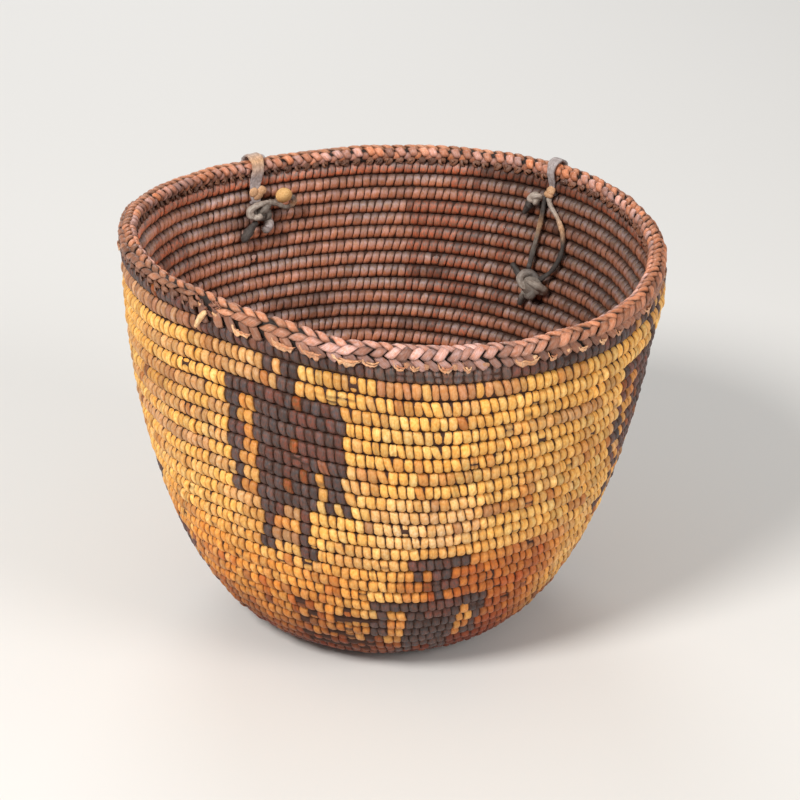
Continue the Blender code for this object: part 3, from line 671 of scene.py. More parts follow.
def make_stitches(name, turns, widths, looks, rng):
    """One closed ring of splint around the coil for each stitch, in one piece."""
    count = len(turns)
    full = (count, len(RING), len(ACROSS))
    ring = RING[None, :, None]
    place = ACROSS[None, None, :]
    degrees = np.degrees(ring)
    colour, inner_top, inner_low, broken, cracked, split, cream = (look[:, None, None] for look in looks)

    def each(low, high):
        return rng.uniform(low, high, count)[:, None, None]

    def normal(spread):
        return spread * rng.standard_normal(count)[:, None, None]

    shift_out = normal(0.00016)
    shift_up = normal(0.00010)
    half_up = HALF_HEIGHT * each(0.985, 1.01)
    half_out = HALF_DEPTH * each(0.95, 1.03)
    thick = end_thickness(turns)[:, None, None]
    half_up = half_up * thick
    half_out = half_out * (0.55 + 0.45 * thick)
    cosine = cos(ring)
    sine = sin(ring)
    outside = smooth_step((cosine + 0.15) / 0.4)

    # Edges of the splint drop in; a splint is crowned along its length, with a lip at its bottom
    lip_size = each(0.0, 1.0) ** 0.7
    lip = 0.00016 * lip_size * hump(degrees, -60, 8) + 0.00010 * hump(degrees, 68, 10)
    waist = -0.00013 * hump(degrees, -38, 22) * each(0.2, 1.6)
    depth = -EDGE_DEPTHS[None, None, :] * each(0.75, 1.25) + (lip + waist) * outside
    crown = 0.00012 * (1 - place * place) * (0.6 * outside + 0.4)
    worn = broken > 1
    pit_place = where(worn, each(5, 60), each(-30, 40))
    pit = broken * PIT_DEPTH * hump(degrees, pit_place, 17 + 13 * worn) * outside
    crack_place = cracked + 5 * place * each(-1, 1)
    pit = np.maximum(pit, CRACK_DEPTH * hump(degrees, crack_place, 9) * outside * each(0.4, 1.0))
    groove = split * GROOVE_DEPTH * hump(place, each(-0.35, 0.35), 0.16) * outside
    fuller = 1 + (depth + crown - pit - groove) / np.sqrt(half_out * half_up)
    lower_in = interp(ring, (-np.pi / 2, -0.9, 0, np.pi / 2), (0.95, 1.0, 1.0, 1.0))
    out = squarish(cosine, 2 / SQUARENESS) * half_out * lower_in * fuller + shift_out
    up = squarish(sine, 2 / SQUARENESS) * half_up * fuller + shift_up * cosine**2

    # Narrower towards the bottom, where the splint dives into the row below, and leaning
    narrow = each(0.12, 0.34)
    width_share = 1 - narrow * ramp(degrees, -5, -85) * outside - each(0.0, 0.05) * (1 - outside)
    lean = np.radians(8.5 + normal(4.5))
    half_width = widths[:, None, None] / 2 * each(0.92, 0.975)
    along = half_width * width_share * place - np.tan(lean) * up
    along = along + 0.00007 * sin(each(3, 7) * ring + each(0, 6.3)) * np.abs(place)
    turn_here = turns[:, None, None] + along / (2 * np.pi * coil_radius(turns)[:, None, None])
    vertices = coil_points(turn_here, out, up)
    vertices[..., 2] = np.maximum(vertices[..., 2], FLOOR_CLEARANCE * (1 + rng.random(full) / 4))

    # Outside: a painted highlight along its middle, painted shade towards its sides and bottom that also
    # makes them warmer, and a pale lip at its bottom painted partly as a highlight and partly cream
    # Painted highlight along the middle
    painted_highlight = hump(place, 0, 0.62) * hump(degrees, each(-15, 40), 42) * each(0.0, 0.75)
    # Painted shade: darker and warmer towards the sides and the bottom
    side = np.abs(place) ** 3 * each(0.3, 0.9)
    low = ramp(degrees, -20, -50) * each(0.2, 1.0)
    outer = mix(colour, colour * np.array((0.80, 0.60, 0.42)), clip(side + 0.6 * low, 0, 1))
    highlight_colour = colour * np.array((1.10, 1.22, 1.55)) + 0.012
    outer = mix(outer, highlight_colour, painted_highlight)
    # Painted highlight on the bottom lip, mixed with cream
    lip_highlight = 0.75 * lip_size * hump(degrees, -61, 6) * (1 - np.abs(place) ** 4)
    outer = mix(outer, mix(highlight_colour, CREAM, cream), lip_highlight)
    # Painted shade at the stitch's bottom and top, where the rows meet, and painted light on its upper half
    painted_shade = 1 - 0.70 * hump(degrees, -90, 16) - 0.35 * hump(degrees, 90, 12)
    outer = outer * ((0.86 + 0.08 * (sine + 1)) * painted_shade)[..., None]

    # Inside: painted shade towards the rows above and below; then painted shade on the edges where stitches
    # meet, and in the pits, cracks and grooves
    inner = mix(inner_low, inner_top, smooth_step((sine + 0.35) / 0.7))
    inner = inner * (1 - 0.68 * ramp(np.abs(sine), 0.40, 0.5))[..., None]
    facing = smooth_step((cosine + 0.10) / 0.2)
    edges = [interp(np.abs(ACROSS), (0, 0.6, 0.93, 1), shares)
             for shares in ((1.0, 1.0, 0.88, 0.40), (1.0, 1.0, 0.76, 0.14))]
    tint = mix(FOUNDATION_AND_SHADE * 0.6, mix(inner, outer, facing), edges[1] * facing + edges[0] * (1 - facing))
    # Pits, cracks and grooves darkened: painted shade in these hollows, and in the worn pits also the
    # foundation's own dark showing through
    hollow_shade = clip(pit / PIT_DEPTH + groove / GROOVE_DEPTH * 0.6, 0, 1)
    tint = mix(tint, FOUNDATION_AND_SHADE * 0.5, 0.85 * hollow_shade)
    number = each(0, LAST_STRAND)
    start = each(0, 50)
    strand = np.broadcast_arrays(degrees / ROUNDED_RADIAN * HALF_DEPTH / MM + start, along / MM, number)
    return add_mesh(name, vertices.reshape(-1, 3), grid_quads(*full, True), with_alpha(tint),
                    np.stack(strand, axis=-1), grid_places(*full, True, 5))


def with_alpha(colours):
    return np.concatenate((colours, np.ones(colours.shape[:-1] + (1,))), axis=-1)


def make_foundation():
    """Dark bundle of rods inside the coil, seen in the gaps between stitches."""
    turns = linspace(FIRST_STITCH, LAST_TURN - 0.03, int(LAST_TURN * 110))[:, None]
    ring = linspace(0, 2 * np.pi, 11)[None, :]
    thick = end_thickness(turns)
    out = 0.0024 * cos(ring) * (0.5 + 0.5 * thick)
    up = 0.0035 * sin(ring) * thick
    points = coil_points(turns + 0 * out, out, up)
    points[..., 2] = np.maximum(points[..., 2], 0.0006)
    strand = np.stack(np.broadcast_arrays(turns * 100, ring * 2.4, 0.0), axis=-1)
    bundle = Bundle()
    bundle.add(points[None], FOUNDATION_AND_SHADE, strand[None], False)
    bundle.build("foundation_bundle", "foundation")


# Scale of the noise along a strand, across it and between strands: of its fibres and its blotches
FIBRE_SCALE = (0.35, 5.0, 1.0)
BLOTCH_SCALE = (0.75, 0.85, 1.0)

# Materials by slot: name, least and most brightness of the fibres, their relief, the roughness,
# and the colours of the cool and warm blotches
MATERIAL_VALUES = {
    "stitches": ("splints", 0.84, 1.12, 0.00022, 0.46, (0.93, 0.80, 0.62), (1.06, 1.10, 1.22)),
    "dark_stitches": ("dark_splints", 0.66, 1.26, 0.00026, 0.50, (1.45, 0.92, 0.72), (0.86, 0.94, 0.98)),
    "foundation": ("foundation_rods", 0.7, 1.2, 0.0002, 0.75, (0.8, 0.8, 0.8), (1.2, 1.2, 1.2)),
    "braid_strands": ("braid_splints", 0.74, 1.20, 0.00022, 0.42, (0.95, 0.78, 0.66), (1.05, 1.10, 1.16)),
    "grey_hide": ("grey_hide_skin", 0.75, 1.2, 0.00025, 0.66, (0.80, 0.76, 0.74), (1.16, 1.18, 1.18)),
    "pale_hide": ("pale_hide_skin", 0.85, 1.12, 0.0002, 0.62, (0.90, 0.82, 0.72), (1.08, 1.10, 1.12)),
}


def splint_material(name, fibre_low, fibre_high, bump, roughness, first, second):
    """Wood splint or hide: fibres along the strand, in colour and in relief, with warm blotches."""
    material = bpy.data.materials.new(name)
    material.use_nodes = True
    nodes = material.node_tree.nodes
    link = material.node_tree.links.new

    def add(kind, values):
        node = nodes.new("ShaderNode" + kind)
        for socket, value in values.items():
            node.inputs[socket].default_value = value
        return node

    def attribute(label):
        node = nodes.new("ShaderNodeAttribute")
        node.attribute_name = label
        return node

    def vector_math(operation, values):
        node = add("VectorMath", values)
        node.operation = operation
        return node

    def noise(scale):
        stretch = vector_math("MULTIPLY", {1: scale})
        link(strand.outputs["Vector"], stretch.inputs[0])
        texture = add("TexNoise", {"Scale": 1.0, "Detail": 3.0})
        link(stretch.outputs["Vector"], texture.inputs["Vector"])
        return texture.outputs["Fac"]

    def remap(value, low, high, to_low, to_high):
        node = add("MapRange", {"From Min": low, "From Max": high, "To Min": to_low, "To Max": to_high})
        link(value, node.inputs["Value"])
        return node.outputs["Result"]

    shader = nodes["Principled BSDF"]
    shader.inputs["Specular IOR Level"].default_value = 0.4
    tint = attribute("tint")
    strand = attribute("strand")
    fibres = noise(FIBRE_SCALE)
    blotches = noise(BLOTCH_SCALE)
    warm = nodes.new("ShaderNodeMix")
    warm.data_type = "RGBA"
    warm.inputs["A"].default_value = (*first, 1)
    warm.inputs["B"].default_value = (*second, 1)
    link(remap(blotches, 0.38, 0.62, 0, 1), warm.inputs["Factor"])
    scale = vector_math("SCALE", {})
    link(tint.outputs["Color"], scale.inputs[0])
    link(remap(fibres, 0.32, 0.68, fibre_low, fibre_high), scale.inputs["Scale"])
    mottled = vector_math("MULTIPLY", {})
    link(scale.outputs["Vector"], mottled.inputs[0])
    link(warm.outputs["Result"], mottled.inputs[1])
    link(mottled.outputs["Vector"], shader.inputs["Base Color"])
    link(remap(fibres, 0.3, 0.7, roughness + 0.1, roughness - 0.1), shader.inputs["Roughness"])
    relief = add("Bump", {"Strength": 0.8, "Distance": bump})
    link(fibres, relief.inputs["Height"])
    link(relief.outputs["Normal"], shader.inputs["Normal"])
    return material


# Pieces of stitches: name, the turn at their upper end, and the CAD node that they replace
STITCH_PIECES = (
    ("border_stitches", LAST_TURN + 1, "dark_border_coil"),
    ("upper_stitches_a", LAST_TURN - 1, "upper_wall_coil"),
    ("upper_stitches_b", LAST_TURN - 5, "upper_wall_coil"),
    ("middle_stitches_a", LAST_TURN - 9, "middle_wall_coil"),
    ("middle_stitches_b", LAST_TURN - 13, "middle_wall_coil"),
    ("lower_stitches_a", LAST_TURN - 17, "lower_wall_coil"),
    ("lower_stitches_b", LAST_TURN - 21, "lower_wall_coil"),
    ("heel_stitches", HEEL_TOP, "heel_coil"),
    ("base_stitches", HEEL_BOTTOM, "base_coil"),
)


def make_coil():
    """Foundation and all stitches, cut into pieces of a few rows each."""
    rng = np.random.default_rng(COIL_SEED)
    turns, widths = walk_stitches(rng)
    count = len(turns)
    colour, inner_top, inner_low, is_dark = stitch_looks(turns, rng)
    degrees = np.degrees(turn_angle(turns)) % 360
    row = LAST_TURN - turns + share_of_turn(turn_angle(turns))
    worn_out = (row > 19.5) & (row < 25.5) & (degrees > 246) & (degrees < 270)
    chance = 0.024 + 0.03 * (row > 15) + 0.45 * worn_out
    cracked = np.full(count, NO_CRACK)
    cracked[(row < 1.5) & (degrees > 270) & (degrees < 294)] = 0
    cracked[(np.abs(row - 3) < 0.5) & (degrees > 255) & (degrees < 265)] = 18
    broken = (rng.random(count) < chance) * rng.uniform(0.5, 1.0, count) * (1 + 1.1 * worn_out)
    cream = where(is_dark, 0.05, 0.75) * (rng.random(count) < 0.6)
    split = (rng.random(count) < 0.16) * rng.uniform(0.3, 1.0, count)
    looks = (colour, inner_top, inner_low, broken, cracked, split, cream)
    bottoms = [top for _, top, _ in STITCH_PIECES[1:]] + [0]
    for (name, top, node), bottom in zip(STITCH_PIECES, bottoms):
        here = (turns >= bottom) & (turns < top)
        for suffix, kind, slot in (("", ~is_dark, "stitches"), ("_dark", is_dark, "dark_stitches")):
            chosen = here & kind
            if chosen.any():
                chosen_looks = [look[chosen] for look in looks]
                piece = make_stitches(name + suffix, turns[chosen], widths[chosen], chosen_looks, rng)
                place_piece(piece, slot, node)
    make_foundation()


class Bundle:
    """Grids of vertices gathered into one mesh, each with its colours and fibre directions."""

    def __init__(self):
        self.parts = []
        self.count = 0

    def add(self, points, tint, strand, closed=True):
        """Add grids: points is (grids, around, across, 3), and closed joins the last ring to the first."""
        tints = with_alpha(np.broadcast_to(clip(tint, 0.004, 0.9), points.shape))
        quads = grid_quads(*points.shape[:3], closed) + self.count
        strands = np.broadcast_to(strand, points.shape)
        self.parts.append((points.reshape(-1, 3), quads, tints.reshape(-1, 4), strands.reshape(-1, 3)))
        self.count += points.size // 3

    def build(self, name, slot, *nodes, body="basket"):
        piece = add_mesh(name, *(np.concatenate(arrays) for arrays in zip(*self.parts)))
        return place_piece(piece, slot, *nodes, body=body)


def rim_points(angle, section, radius):
    """Points on the rim: section is the angle round the braid, 0 outward and 90 degrees up."""
    sway = 0.00020 * sin(11 * angle + 0.8) + 0.00014 * sin(29 * angle + 2.0)
    lift = 0.00018 * sin(7 * angle + 2.9) + 0.00016 * sin(19 * angle + 0.3) + on_curve(LIFT_CURVE, angle)
    radius = radius * on_curve(SIZE_CURVE, angle)
    return wall_points(angle, rim_reach(angle), radius * cos(section) + sway, radius * sin(section) + lift)


def rim_gap(angle):
    """Distance from the braid's middle down to the top of the border row."""
    turn = LAST_TURN - 1 + share_of_turn(angle)
    reach = coil_reach(turn)
    border = reach - row_drop(angle, reach) + 1.1 * HALF_HEIGHT * end_thickness(turn)
    return rim_reach(angle) + on_curve(LIFT_CURVE, angle) - border


SPLINT_RINGS = 11
SPLINT_SIDES = 12
STRIP_STEPS = 5
STRIP_SIDES = 10


def add_rim_straps(bundle, angles, middle, length, width, lean, thickness, base, dips, colour, rng,
                   skew=0.0, flat=2.6):
    """Splints laid over the rim, one for each angle.

    middle is the section angle of a splint's middle and lean its slope from the rim's line, both in
    degrees. base is its middle's distance from the rim's centre, dips is how far its two ends go
    in, skew slants its ends and flat squares its section. Each is a number or one number for each
    splint, and lengths are in metres.
    """
    count = len(angles)

    def column(value):
        return np.broadcast_to(value, (count,))[:, None, None]

    share = linspace(-1, 1, SPLINT_RINGS)[None, None, :]
    side = linspace(0, 2 * np.pi, SPLINT_SIDES, endpoint=False)[None, :, None]
    across = squarish(cos(side), 2 / flat)
    thick = squarish(sin(side), 2 / flat)
    taper = 0.10 + 0.90 * (1 - np.abs(share) ** 12) ** 0.5
    wide = column(width) / 2 * taper
    dip = where(share < 0, column(dips[0]), column(dips[1])) * ramp(np.abs(share), 0.25, 0.75)
    bow = 0.00025 * rng.standard_normal(count)[:, None, None] * (1 - share**2)
    slope = np.radians(column(lean))
    side_step = across * wide + bow
    run = column(length) / 2 * share - column(skew) * across * wide * cos(slope) / sin(slope)
    rim_step = run * cos(slope) - side_step * sin(slope)
    up_step = run * sin(slope) + side_step * cos(slope)
    radius = column(base) + column(thickness) / 2 * taper * thick * (1 - 0.20 * across**2) - dip
    section = np.radians(column(middle)) + up_step / BRAID_RADIUS
    points = rim_points(column(angles) + rim_step / RIM_RADIUS, section, radius)
    ends = ramp(np.abs(share), 1, -0.70)
    shade = (0.25 + 0.75 * smooth_step((thick + 1) / 2 * 1.6)) * (0.40 + 0.60 * ends)
    shade = shade * (1 - 0.75 * np.abs(across) ** 5)
    tint = np.broadcast_to(colour, (count, 3))[:, None, None, :] * shade[..., None]
    run = run + column(rng.uniform(0, 50, count)) * MM
    strand = np.broadcast_arrays(run / MM, side_step / MM, column(rng.uniform(0, LAST_STRAND, count)))
    bundle.add(points, tint, np.stack(strand, axis=-1))


RIM_BROWN = np.array((0.36, 0.155, 0.095))
RIM_PINK = np.array((0.70, 0.41, 0.35))
RIM_TAWNY = np.array((0.60, 0.280, 0.160))
RIM_DARK = np.array((0.17, 0.085, 0.062))
RIM_ORANGE = np.array((0.66, 0.26, 0.13))
RIM_CORE = np.array((0.034, 0.023, 0.019))
TORN = np.array((0.95, 0.57, 0.31))

# Torn edges below the braid, by their left ends in degrees, with their width in millimetres
FLAPS = ((-122.5, 8.6), (-113.5, 9.4), (-107.5, 8.4), (-101.0, 11.0), (-95.0, 6.0), (-89.0, 4.6),
         (-85.8, 3.4), (-80.4, 5.4), (-75.4, 3.2), (-64.5, 10.0), (-57.0, 4.0), (-49.5, 5.0),
         (-43.5, 4.5), (-38.0, 4.0), (-26.0, 7.0), (-9.0, 6.0), (14.0, 9.0), (37.0, 6.0), (66.0, 8.0),
         (98.0, 7.0), (140.0, 9.0), (171.0, 6.0), (187.0, 8.0))
# Outline of a torn edge, as shares of its width and height, with how far it stands off in millimetres
FLAP_SHAPE = ((0.00, 0.00, 0.1), (0.06, 0.36, 0.6), (0.17, 0.66, 1.0), (0.36, 0.86, 1.2), (0.60, 0.95, 1.1),
              (0.82, 0.90, 0.9), (1.00, 0.74, 0.5))
# Small torn bits below the braid, in degrees
CHIPS = (-87.0, -83.5, -77.5, -72.0, -61.0, -53.0)
# Frayed place by the coil's end, in degrees, and its number of shreds
FRAYED = (-134.5, -126.0)
SHREDS = 26


def rim_angles(rng):
    """Angles of the braid's splints."""
    grid = linspace(0, 2 * np.pi, 2161)
    number = np.append(0.0, np.cumsum(RIM_RADIUS * np.diff(grid) / on_curve(SPACING_CURVE, grid[1:])))
    count = round(float(number[-1]))
    return interp(np.arange(count) + 0.07 * rng.standard_normal(count), number * count / number[-1], grid)


def spread_along(share, sizes):
    """Sizes or colours, evenly spaced over a length, at shares of it."""
    sizes = np.asarray(sizes, float)
    grid = linspace(0, 1, len(sizes))
    if sizes.ndim == 1:
        return interp(share, grid, sizes)
    return np.stack([interp(share, grid, column) for column in sizes.T], axis=-1)


def add_strip(bundle, angle, places, widths, thickness, colour, rng, ragged=0.1):
    """Flat strip on the wall: places are right of angle, below the braid's middle and off the rows.

    Places and widths are in millimetres; a ragged strip has torn edges and stained patches.
    """
    route = smooth_route(np.array(places) * MM, STRIP_STEPS)
    share = linspace(0, 1, len(route))
    size = spread_along(share, widths) * MM / 2 * clip(np.minimum(share, 1 - share) * 12, 0.03, 1)
    run = np.gradient(route[:, :2], axis=0)
    run /= np.linalg.norm(run, axis=1)[:, None]
    side = linspace(0, 2 * np.pi, STRIP_SIDES, endpoint=False)[:, None]
    torn = round((2 + len(widths)) * (1 + 0.7 * ragged))
    edges = [1 + ragged * spread_along(share, rng.uniform(-1, 1, torn)) for _ in range(2)]
    across = squarish(cos(side), 0.6) * size * where(cos(side) > 0, *edges)
    thick = squarish(sin(side), 0.7) * np.minimum(thickness * MM / 2, size)
    here = angle + (route[:, 0] - run[:, 1] * across) / RIM_RADIUS
    reach = rim_reach(here) + on_curve(LIFT_CURVE, here) - (route[:, 1] + run[:, 0] * across)
    points = wall_points(here, reach, route[:, 2] + thick)
    shade = (0.80 + 0.20 * sin(side)) * (1 - 0.25 * np.abs(cos(side)) ** 6)
    shade = shade * (1 - 0.5 * ragged * rng.random((STRIP_SIDES, len(route))) ** 2)
    strand = np.stack(np.broadcast_arrays(share * 8, across / MM, rng.uniform(0, LAST_STRAND)), axis=-1)
    bundle.add(points[None], (colour * shade[..., None])[None], strand[None])


def add_flap(bundle, degrees, width, rng):
    """Torn edge of a splint: it leaves the braid at its left, hangs over the border and rises again."""
    angle = math.radians(degrees)
    tall = float(rim_gap(np.array(angle + width * MM / 2 / RIM_RADIUS))) / MM - 1.5
    places = [(width * right, 1.8 + tall * below + rng.uniform(-0.2, 0.2), 2.8 + off)
              for right, below, off in FLAP_SHAPE]
    body = min(2.7, 0.21 * width + 0.5) * rng.uniform(0.8, 1.15)
    widths = (0.3, 0.4 * body, 0.5 * body, 0.9 * body, 1.1 * body, 0.9 * body, 0.4)
    add_strip(bundle, angle, places, widths, 0.5, mix(TORN, RIM_TAWNY, 0.8 * rng.random()), rng, 0.8)
    places = [(right + 0.08 * width, below - 0.7 - 0.5 * rng.random(), off + 0.25)
              for right, below, off in places[2:]]
    widths = (0.3, 0.8, 0.45 * body, 0.8, 0.3)
    add_strip(bundle, angle, places, widths, 0.4, mix(TORN, RIM_ORANGE, rng.random()), rng, 0.8)


def make_upper_rim(rng):
    """Leaning splints in four columns, with the angles, spacings and colours of the outer ones."""
    angles = rim_angles(rng)
    count = len(angles)
    degrees = np.degrees(angles) % 360
    spacing = on_curve(SPACING_CURVE, angles)
    half_step = spacing / 2 / RIM_RADIUS

    def normal(middle, spread):
        return middle + spread * rng.standard_normal(count)

    def colours(first, second, spread):
        return mix(first, second, rng.random(count)) * clip(normal(1, spread), 0.5, 1.5)[:, None]

    # The outer splints stand up more right of the front's middle, where they look like twisted cord
    upright = ramp(degrees, 264, 10) * ramp(degrees, 302, -14)
    right = ramp(degrees, 290, 14) * ramp(degrees, 355, -30)
    left = ramp(degrees, 195, 25) * ramp(degrees, 266, -12)
    whole = np.abs(degrees - 230) > 3.2
    fair = mix(RIM_TAWNY, RIM_PINK, ramp(degrees, 246, 14) * ramp(degrees, 312, -30))
    fair = fair * (1 - 0.30 * ramp(degrees, 165, 10) * ramp(degrees, 236, -14))[:, None]
    fair = mix(fair, RIM_ORANGE * 0.85, 0.7 * ramp(np.abs(away(degrees, 0)), 70, -40))
    lean = normal(39 + 12 * upright + 7 * right, 4)
    length = (0.0076 + 0.0002 * upright) * clip(normal(1, 0.07), 0.8, 1.25)
    width = (1.10 * spacing * sin(np.radians(lean)) - 0.0004) * clip(normal(1, 0.06), 0.8, 1.15)
    middle = normal(15 - 10 * left + 9 * upright, 4)
    base = normal(BRAID_RADIUS - 0.00030, 0.00014)
    paint = colours(mix(RIM_BROWN, fair, 0.20), fair * 1.06, 0.22)
    skew = 0.62 - 0.42 * upright
    chosen = [values[whole] for values in (angles, middle, length, width, lean)]
    outer = Bundle()
    add_rim_straps(outer, *chosen, 0.0021, base[whole], (0.0005, 0.0009), paint[whole], rng,
                   skew[whole], 3.8)
    outer.build("rim_outer_splints", "braid_strands", "rim_braid")

    top = Bundle()
    add_rim_straps(top, angles + half_step, normal(84, 4), 0.0088, spacing * 0.60, normal(138, 6), 0.0018,
                   BRAID_RADIUS - 0.0005, (0.0010, 0.0009),
                   colours(fair, mix(RIM_ORANGE, fair, 0.3), 0.18), rng, 0.35, 3.0)
    top.build("rim_top_splints", "braid_strands", "rim_braid")

    inner = Bundle()
    add_rim_straps(inner, angles + 0.4 * half_step, normal(146, 4), 0.0076, spacing * 0.74, normal(120, 6),
                   0.0018, BRAID_RADIUS - 0.0005, (0.0012, 0.0006),
                   colours(RIM_PINK, RIM_ORANGE * 1.15, 0.2), rng, 0.2)
    add_rim_straps(inner, angles + 1.2 * half_step, normal(210, 4), 0.0070, spacing * 0.66, normal(78, 6),
                   0.0016, BRAID_RADIUS - 0.0008, (0.0004, 0.0012),
                   colours(RIM_ORANGE, RIM_PINK * 0.8, 0.2), rng)
    inner.build("rim_inner_splints", "braid_strands", "rim_braid")
    return angles, spacing, fair


def make_lower_splints(angles, spacing, fair, rng):
    """Splints that come down from under the braid into the border row, inside and outside."""
    lower = Bundle()
    half_step = spacing / 2 / RIM_RADIUS
    for number in range(len(angles)):
        angle = angles[number] + rng.uniform(0.5, 0.9) * half_step[number]
        gap = float(rim_gap(angle)) / MM
        small = float(on_curve(SIZE_CURVE, angle))
        for side, slant in ((1, rng.uniform(1.0, 2.0)), (-1, rng.uniform(-0.6, 0.6))):
            places = ((-slant - 1.4, 0.6, side * 1.5 * small),
                      (-0.8 * slant - 0.6, 1.9, side * 2.6 * small),
                      (0.2 * slant, 0.5 * gap + 1.3, side * 3.2),
                      (0.8 * slant, gap - 0.1, side * 3.1),
                      (slant + 0.3, gap + 0.8, side * 1.8))
            wide = spacing[number] / MM * rng.uniform(0.62, 0.76)
            widths = (0.7 * wide, wide, wide, 0.85 * wide, 0.5 * wide)
            paint = mix(RIM_DARK, fair[number], 0.10 + 0.6 * rng.random())
            add_strip(lower, angle, places, widths, 1.1, paint, rng, 0.06)
    lower.build("rim_lower_splints", "braid_strands", "rim_braid")


def make_torn_edges(rng):
    """Torn edges and bits below the braid, and the shreds of the frayed place."""
    torn = Bundle()
    for start, width in FLAPS:
        add_flap(torn, start, width, rng)
    for start in CHIPS:
        gap = float(rim_gap(np.radians(start))) / MM
        wide = rng.uniform(1.6, 2.8)
        long = rng.uniform(2.2, 4.2)
        places = ((0, gap - rng.uniform(1.2, 2.0), 3.0), (long / 2, gap - rng.uniform(1.2, 1.8), 3.5),
                  (long, gap - rng.uniform(0.8, 1.6), 3.1))
        paint = mix(TORN, RIM_BROWN, rng.choice((0.0, 0.15, 0.7)))
        add_strip(torn, math.radians(start), places, (0.7 * wide, wide, wide, 0.6 * wide), 0.6, paint, rng)
    for _ in range(SHREDS):
        angle = math.radians(rng.uniform(*FRAYED))
        high = rng.uniform(-2.6, 3.4)
        rise = rng.uniform(-2.6, 2.6)
        long = rng.uniform(1.5, 4.5)
        off = rng.uniform(1.6, 2.7)
        wide = rng.uniform(0.5, 1.7)
        paint = mix(mix(RIM_DARK, RIM_BROWN, rng.random()), TORN, 0.8 * (rng.random() < 0.3))
        places = ((0, high, off), (long / 2, high + rise / 2, off + 0.5), (long, high + rise, off - 0.1))
        add_strip(torn, angle, places, (0.6 * wide, wide, wide, 0.4 * wide), 0.6, paint, rng)
    torn.build("rim_torn_edges", "braid_strands", "rim_braid")


def make_rim_core():
    """Dark bundle inside the braid, which goes down between its splints to the border row."""
    ring = linspace(0, 2 * np.pi, 25)[None, :]
    angle = linspace(0, 2 * np.pi, 721)[:, None]
    small = on_curve(SIZE_CURVE, angle)
    out = 0.00205 * small * squarish(cos(ring), 0.7)
    up = where(sin(ring) > 0, 0.00255 * small, rim_gap(angle) + 0.0012) * sin(ring)
    points = wall_points(angle + 0 * ring, rim_reach(angle) + on_curve(LIFT_CURVE, angle), out, up)[None]
    strand = np.stack(np.broadcast_arrays(angle * 108, ring * 2.5, 0 * angle), axis=-1)
    core = Bundle()
    core.add(points, RIM_CORE, strand, False)
    core.build("rim_bundle", "foundation", "rim_core")


def make_rim():
    """Braided rim, with torn edges below it."""
    rng = np.random.default_rng(RIM_SEED)
    angles, spacing, fair = make_upper_rim(rng)
    make_lower_splints(angles, spacing, fair, rng)
    make_torn_edges(rng)
    make_rim_core()


# Hide ties: where each crosses the rim, and the rows that it holds. Places on a tie are in
# millimetres across (right as seen from inside), below the strap's lower edge and off the rows.
LEFT_TIE = (math.radians(124.7), 2)
RIGHT_TIE = (math.radians(50.2), 1)
GREY_HIDE = np.array((0.33, 0.28, 0.24))
STRAP_HIDE = np.array((0.60, 0.52, 0.51))
# Pale hide, also used as the painted highlight on the left strap's top
PALE_HIDE_AND_HIGHLIGHT = np.array((0.74, 0.44, 0.25))
DARK_HIDE = np.array((0.070, 0.060, 0.055))
BALL_HIDE = np.array((0.80, 0.48, 0.19))


def tones(colour, *shares):
    """Lighter and darker versions of a colour."""
    return [colour * share for share in shares]


def tie_reach(tie):
    angle, rows_held = tie
    return ROW_PITCH * (LAST_TURN - 1 + float(share_of_turn(angle)) - rows_held + 0.5)


def tie_points(tie, places):
    """World points of places on a tie."""
    across, below, off = MM * np.moveaxis(np.asarray(places, float), -1, 0)
    reach = tie_reach(tie) - STRAP_THICKNESS / 2 - below
    return wall_points(tie[0] - across / RIM_RADIUS, reach, -(COIL_RADIUS + CLEARANCE + off))


ROUTE_STEPS = 8
TUBE_SIDES = 14
LUMP_RINGS = 15
LUMP_SIDES = 24
STRAP_STEPS = 96
STRAP_SIDES = 20


def smooth_route(points, steps=ROUTE_STEPS):
    """Catmull-Rom curve through points, with so many steps a span."""
    points = np.asarray(points, float)
    padded = np.concatenate((2 * points[:1] - points[1:2], points, 2 * points[-1:] - points[-2:-1]))
    t = (np.arange(steps) / steps)[:, None]
    route = []
    for a, b, c, d in zip(padded, padded[1:], padded[2:], padded[3:]):
        route.append(0.5 * (2 * b + (c - a) * t + (2 * a - 5 * b + 4 * c - d) * t * t
                            + (3 * b - a - 3 * c + d) * t**3))
    return np.concatenate(route + [points[-1:]])


def tube_frames(route):
    """Two directions square to a route at each point, carried along it without twisting."""
    run = np.gradient(route, axis=0)
    run /= np.linalg.norm(run, axis=1)[:, None]
    start = np.cross(run[0], (0.3, 0.2, 0.9))
    first = [start / np.linalg.norm(start)]
    for direction in run[1:]:
        side = first[-1] - direction * np.dot(first[-1], direction)
        first.append(side / np.linalg.norm(side))
    first = np.array(first)
    return first, np.cross(run, first)


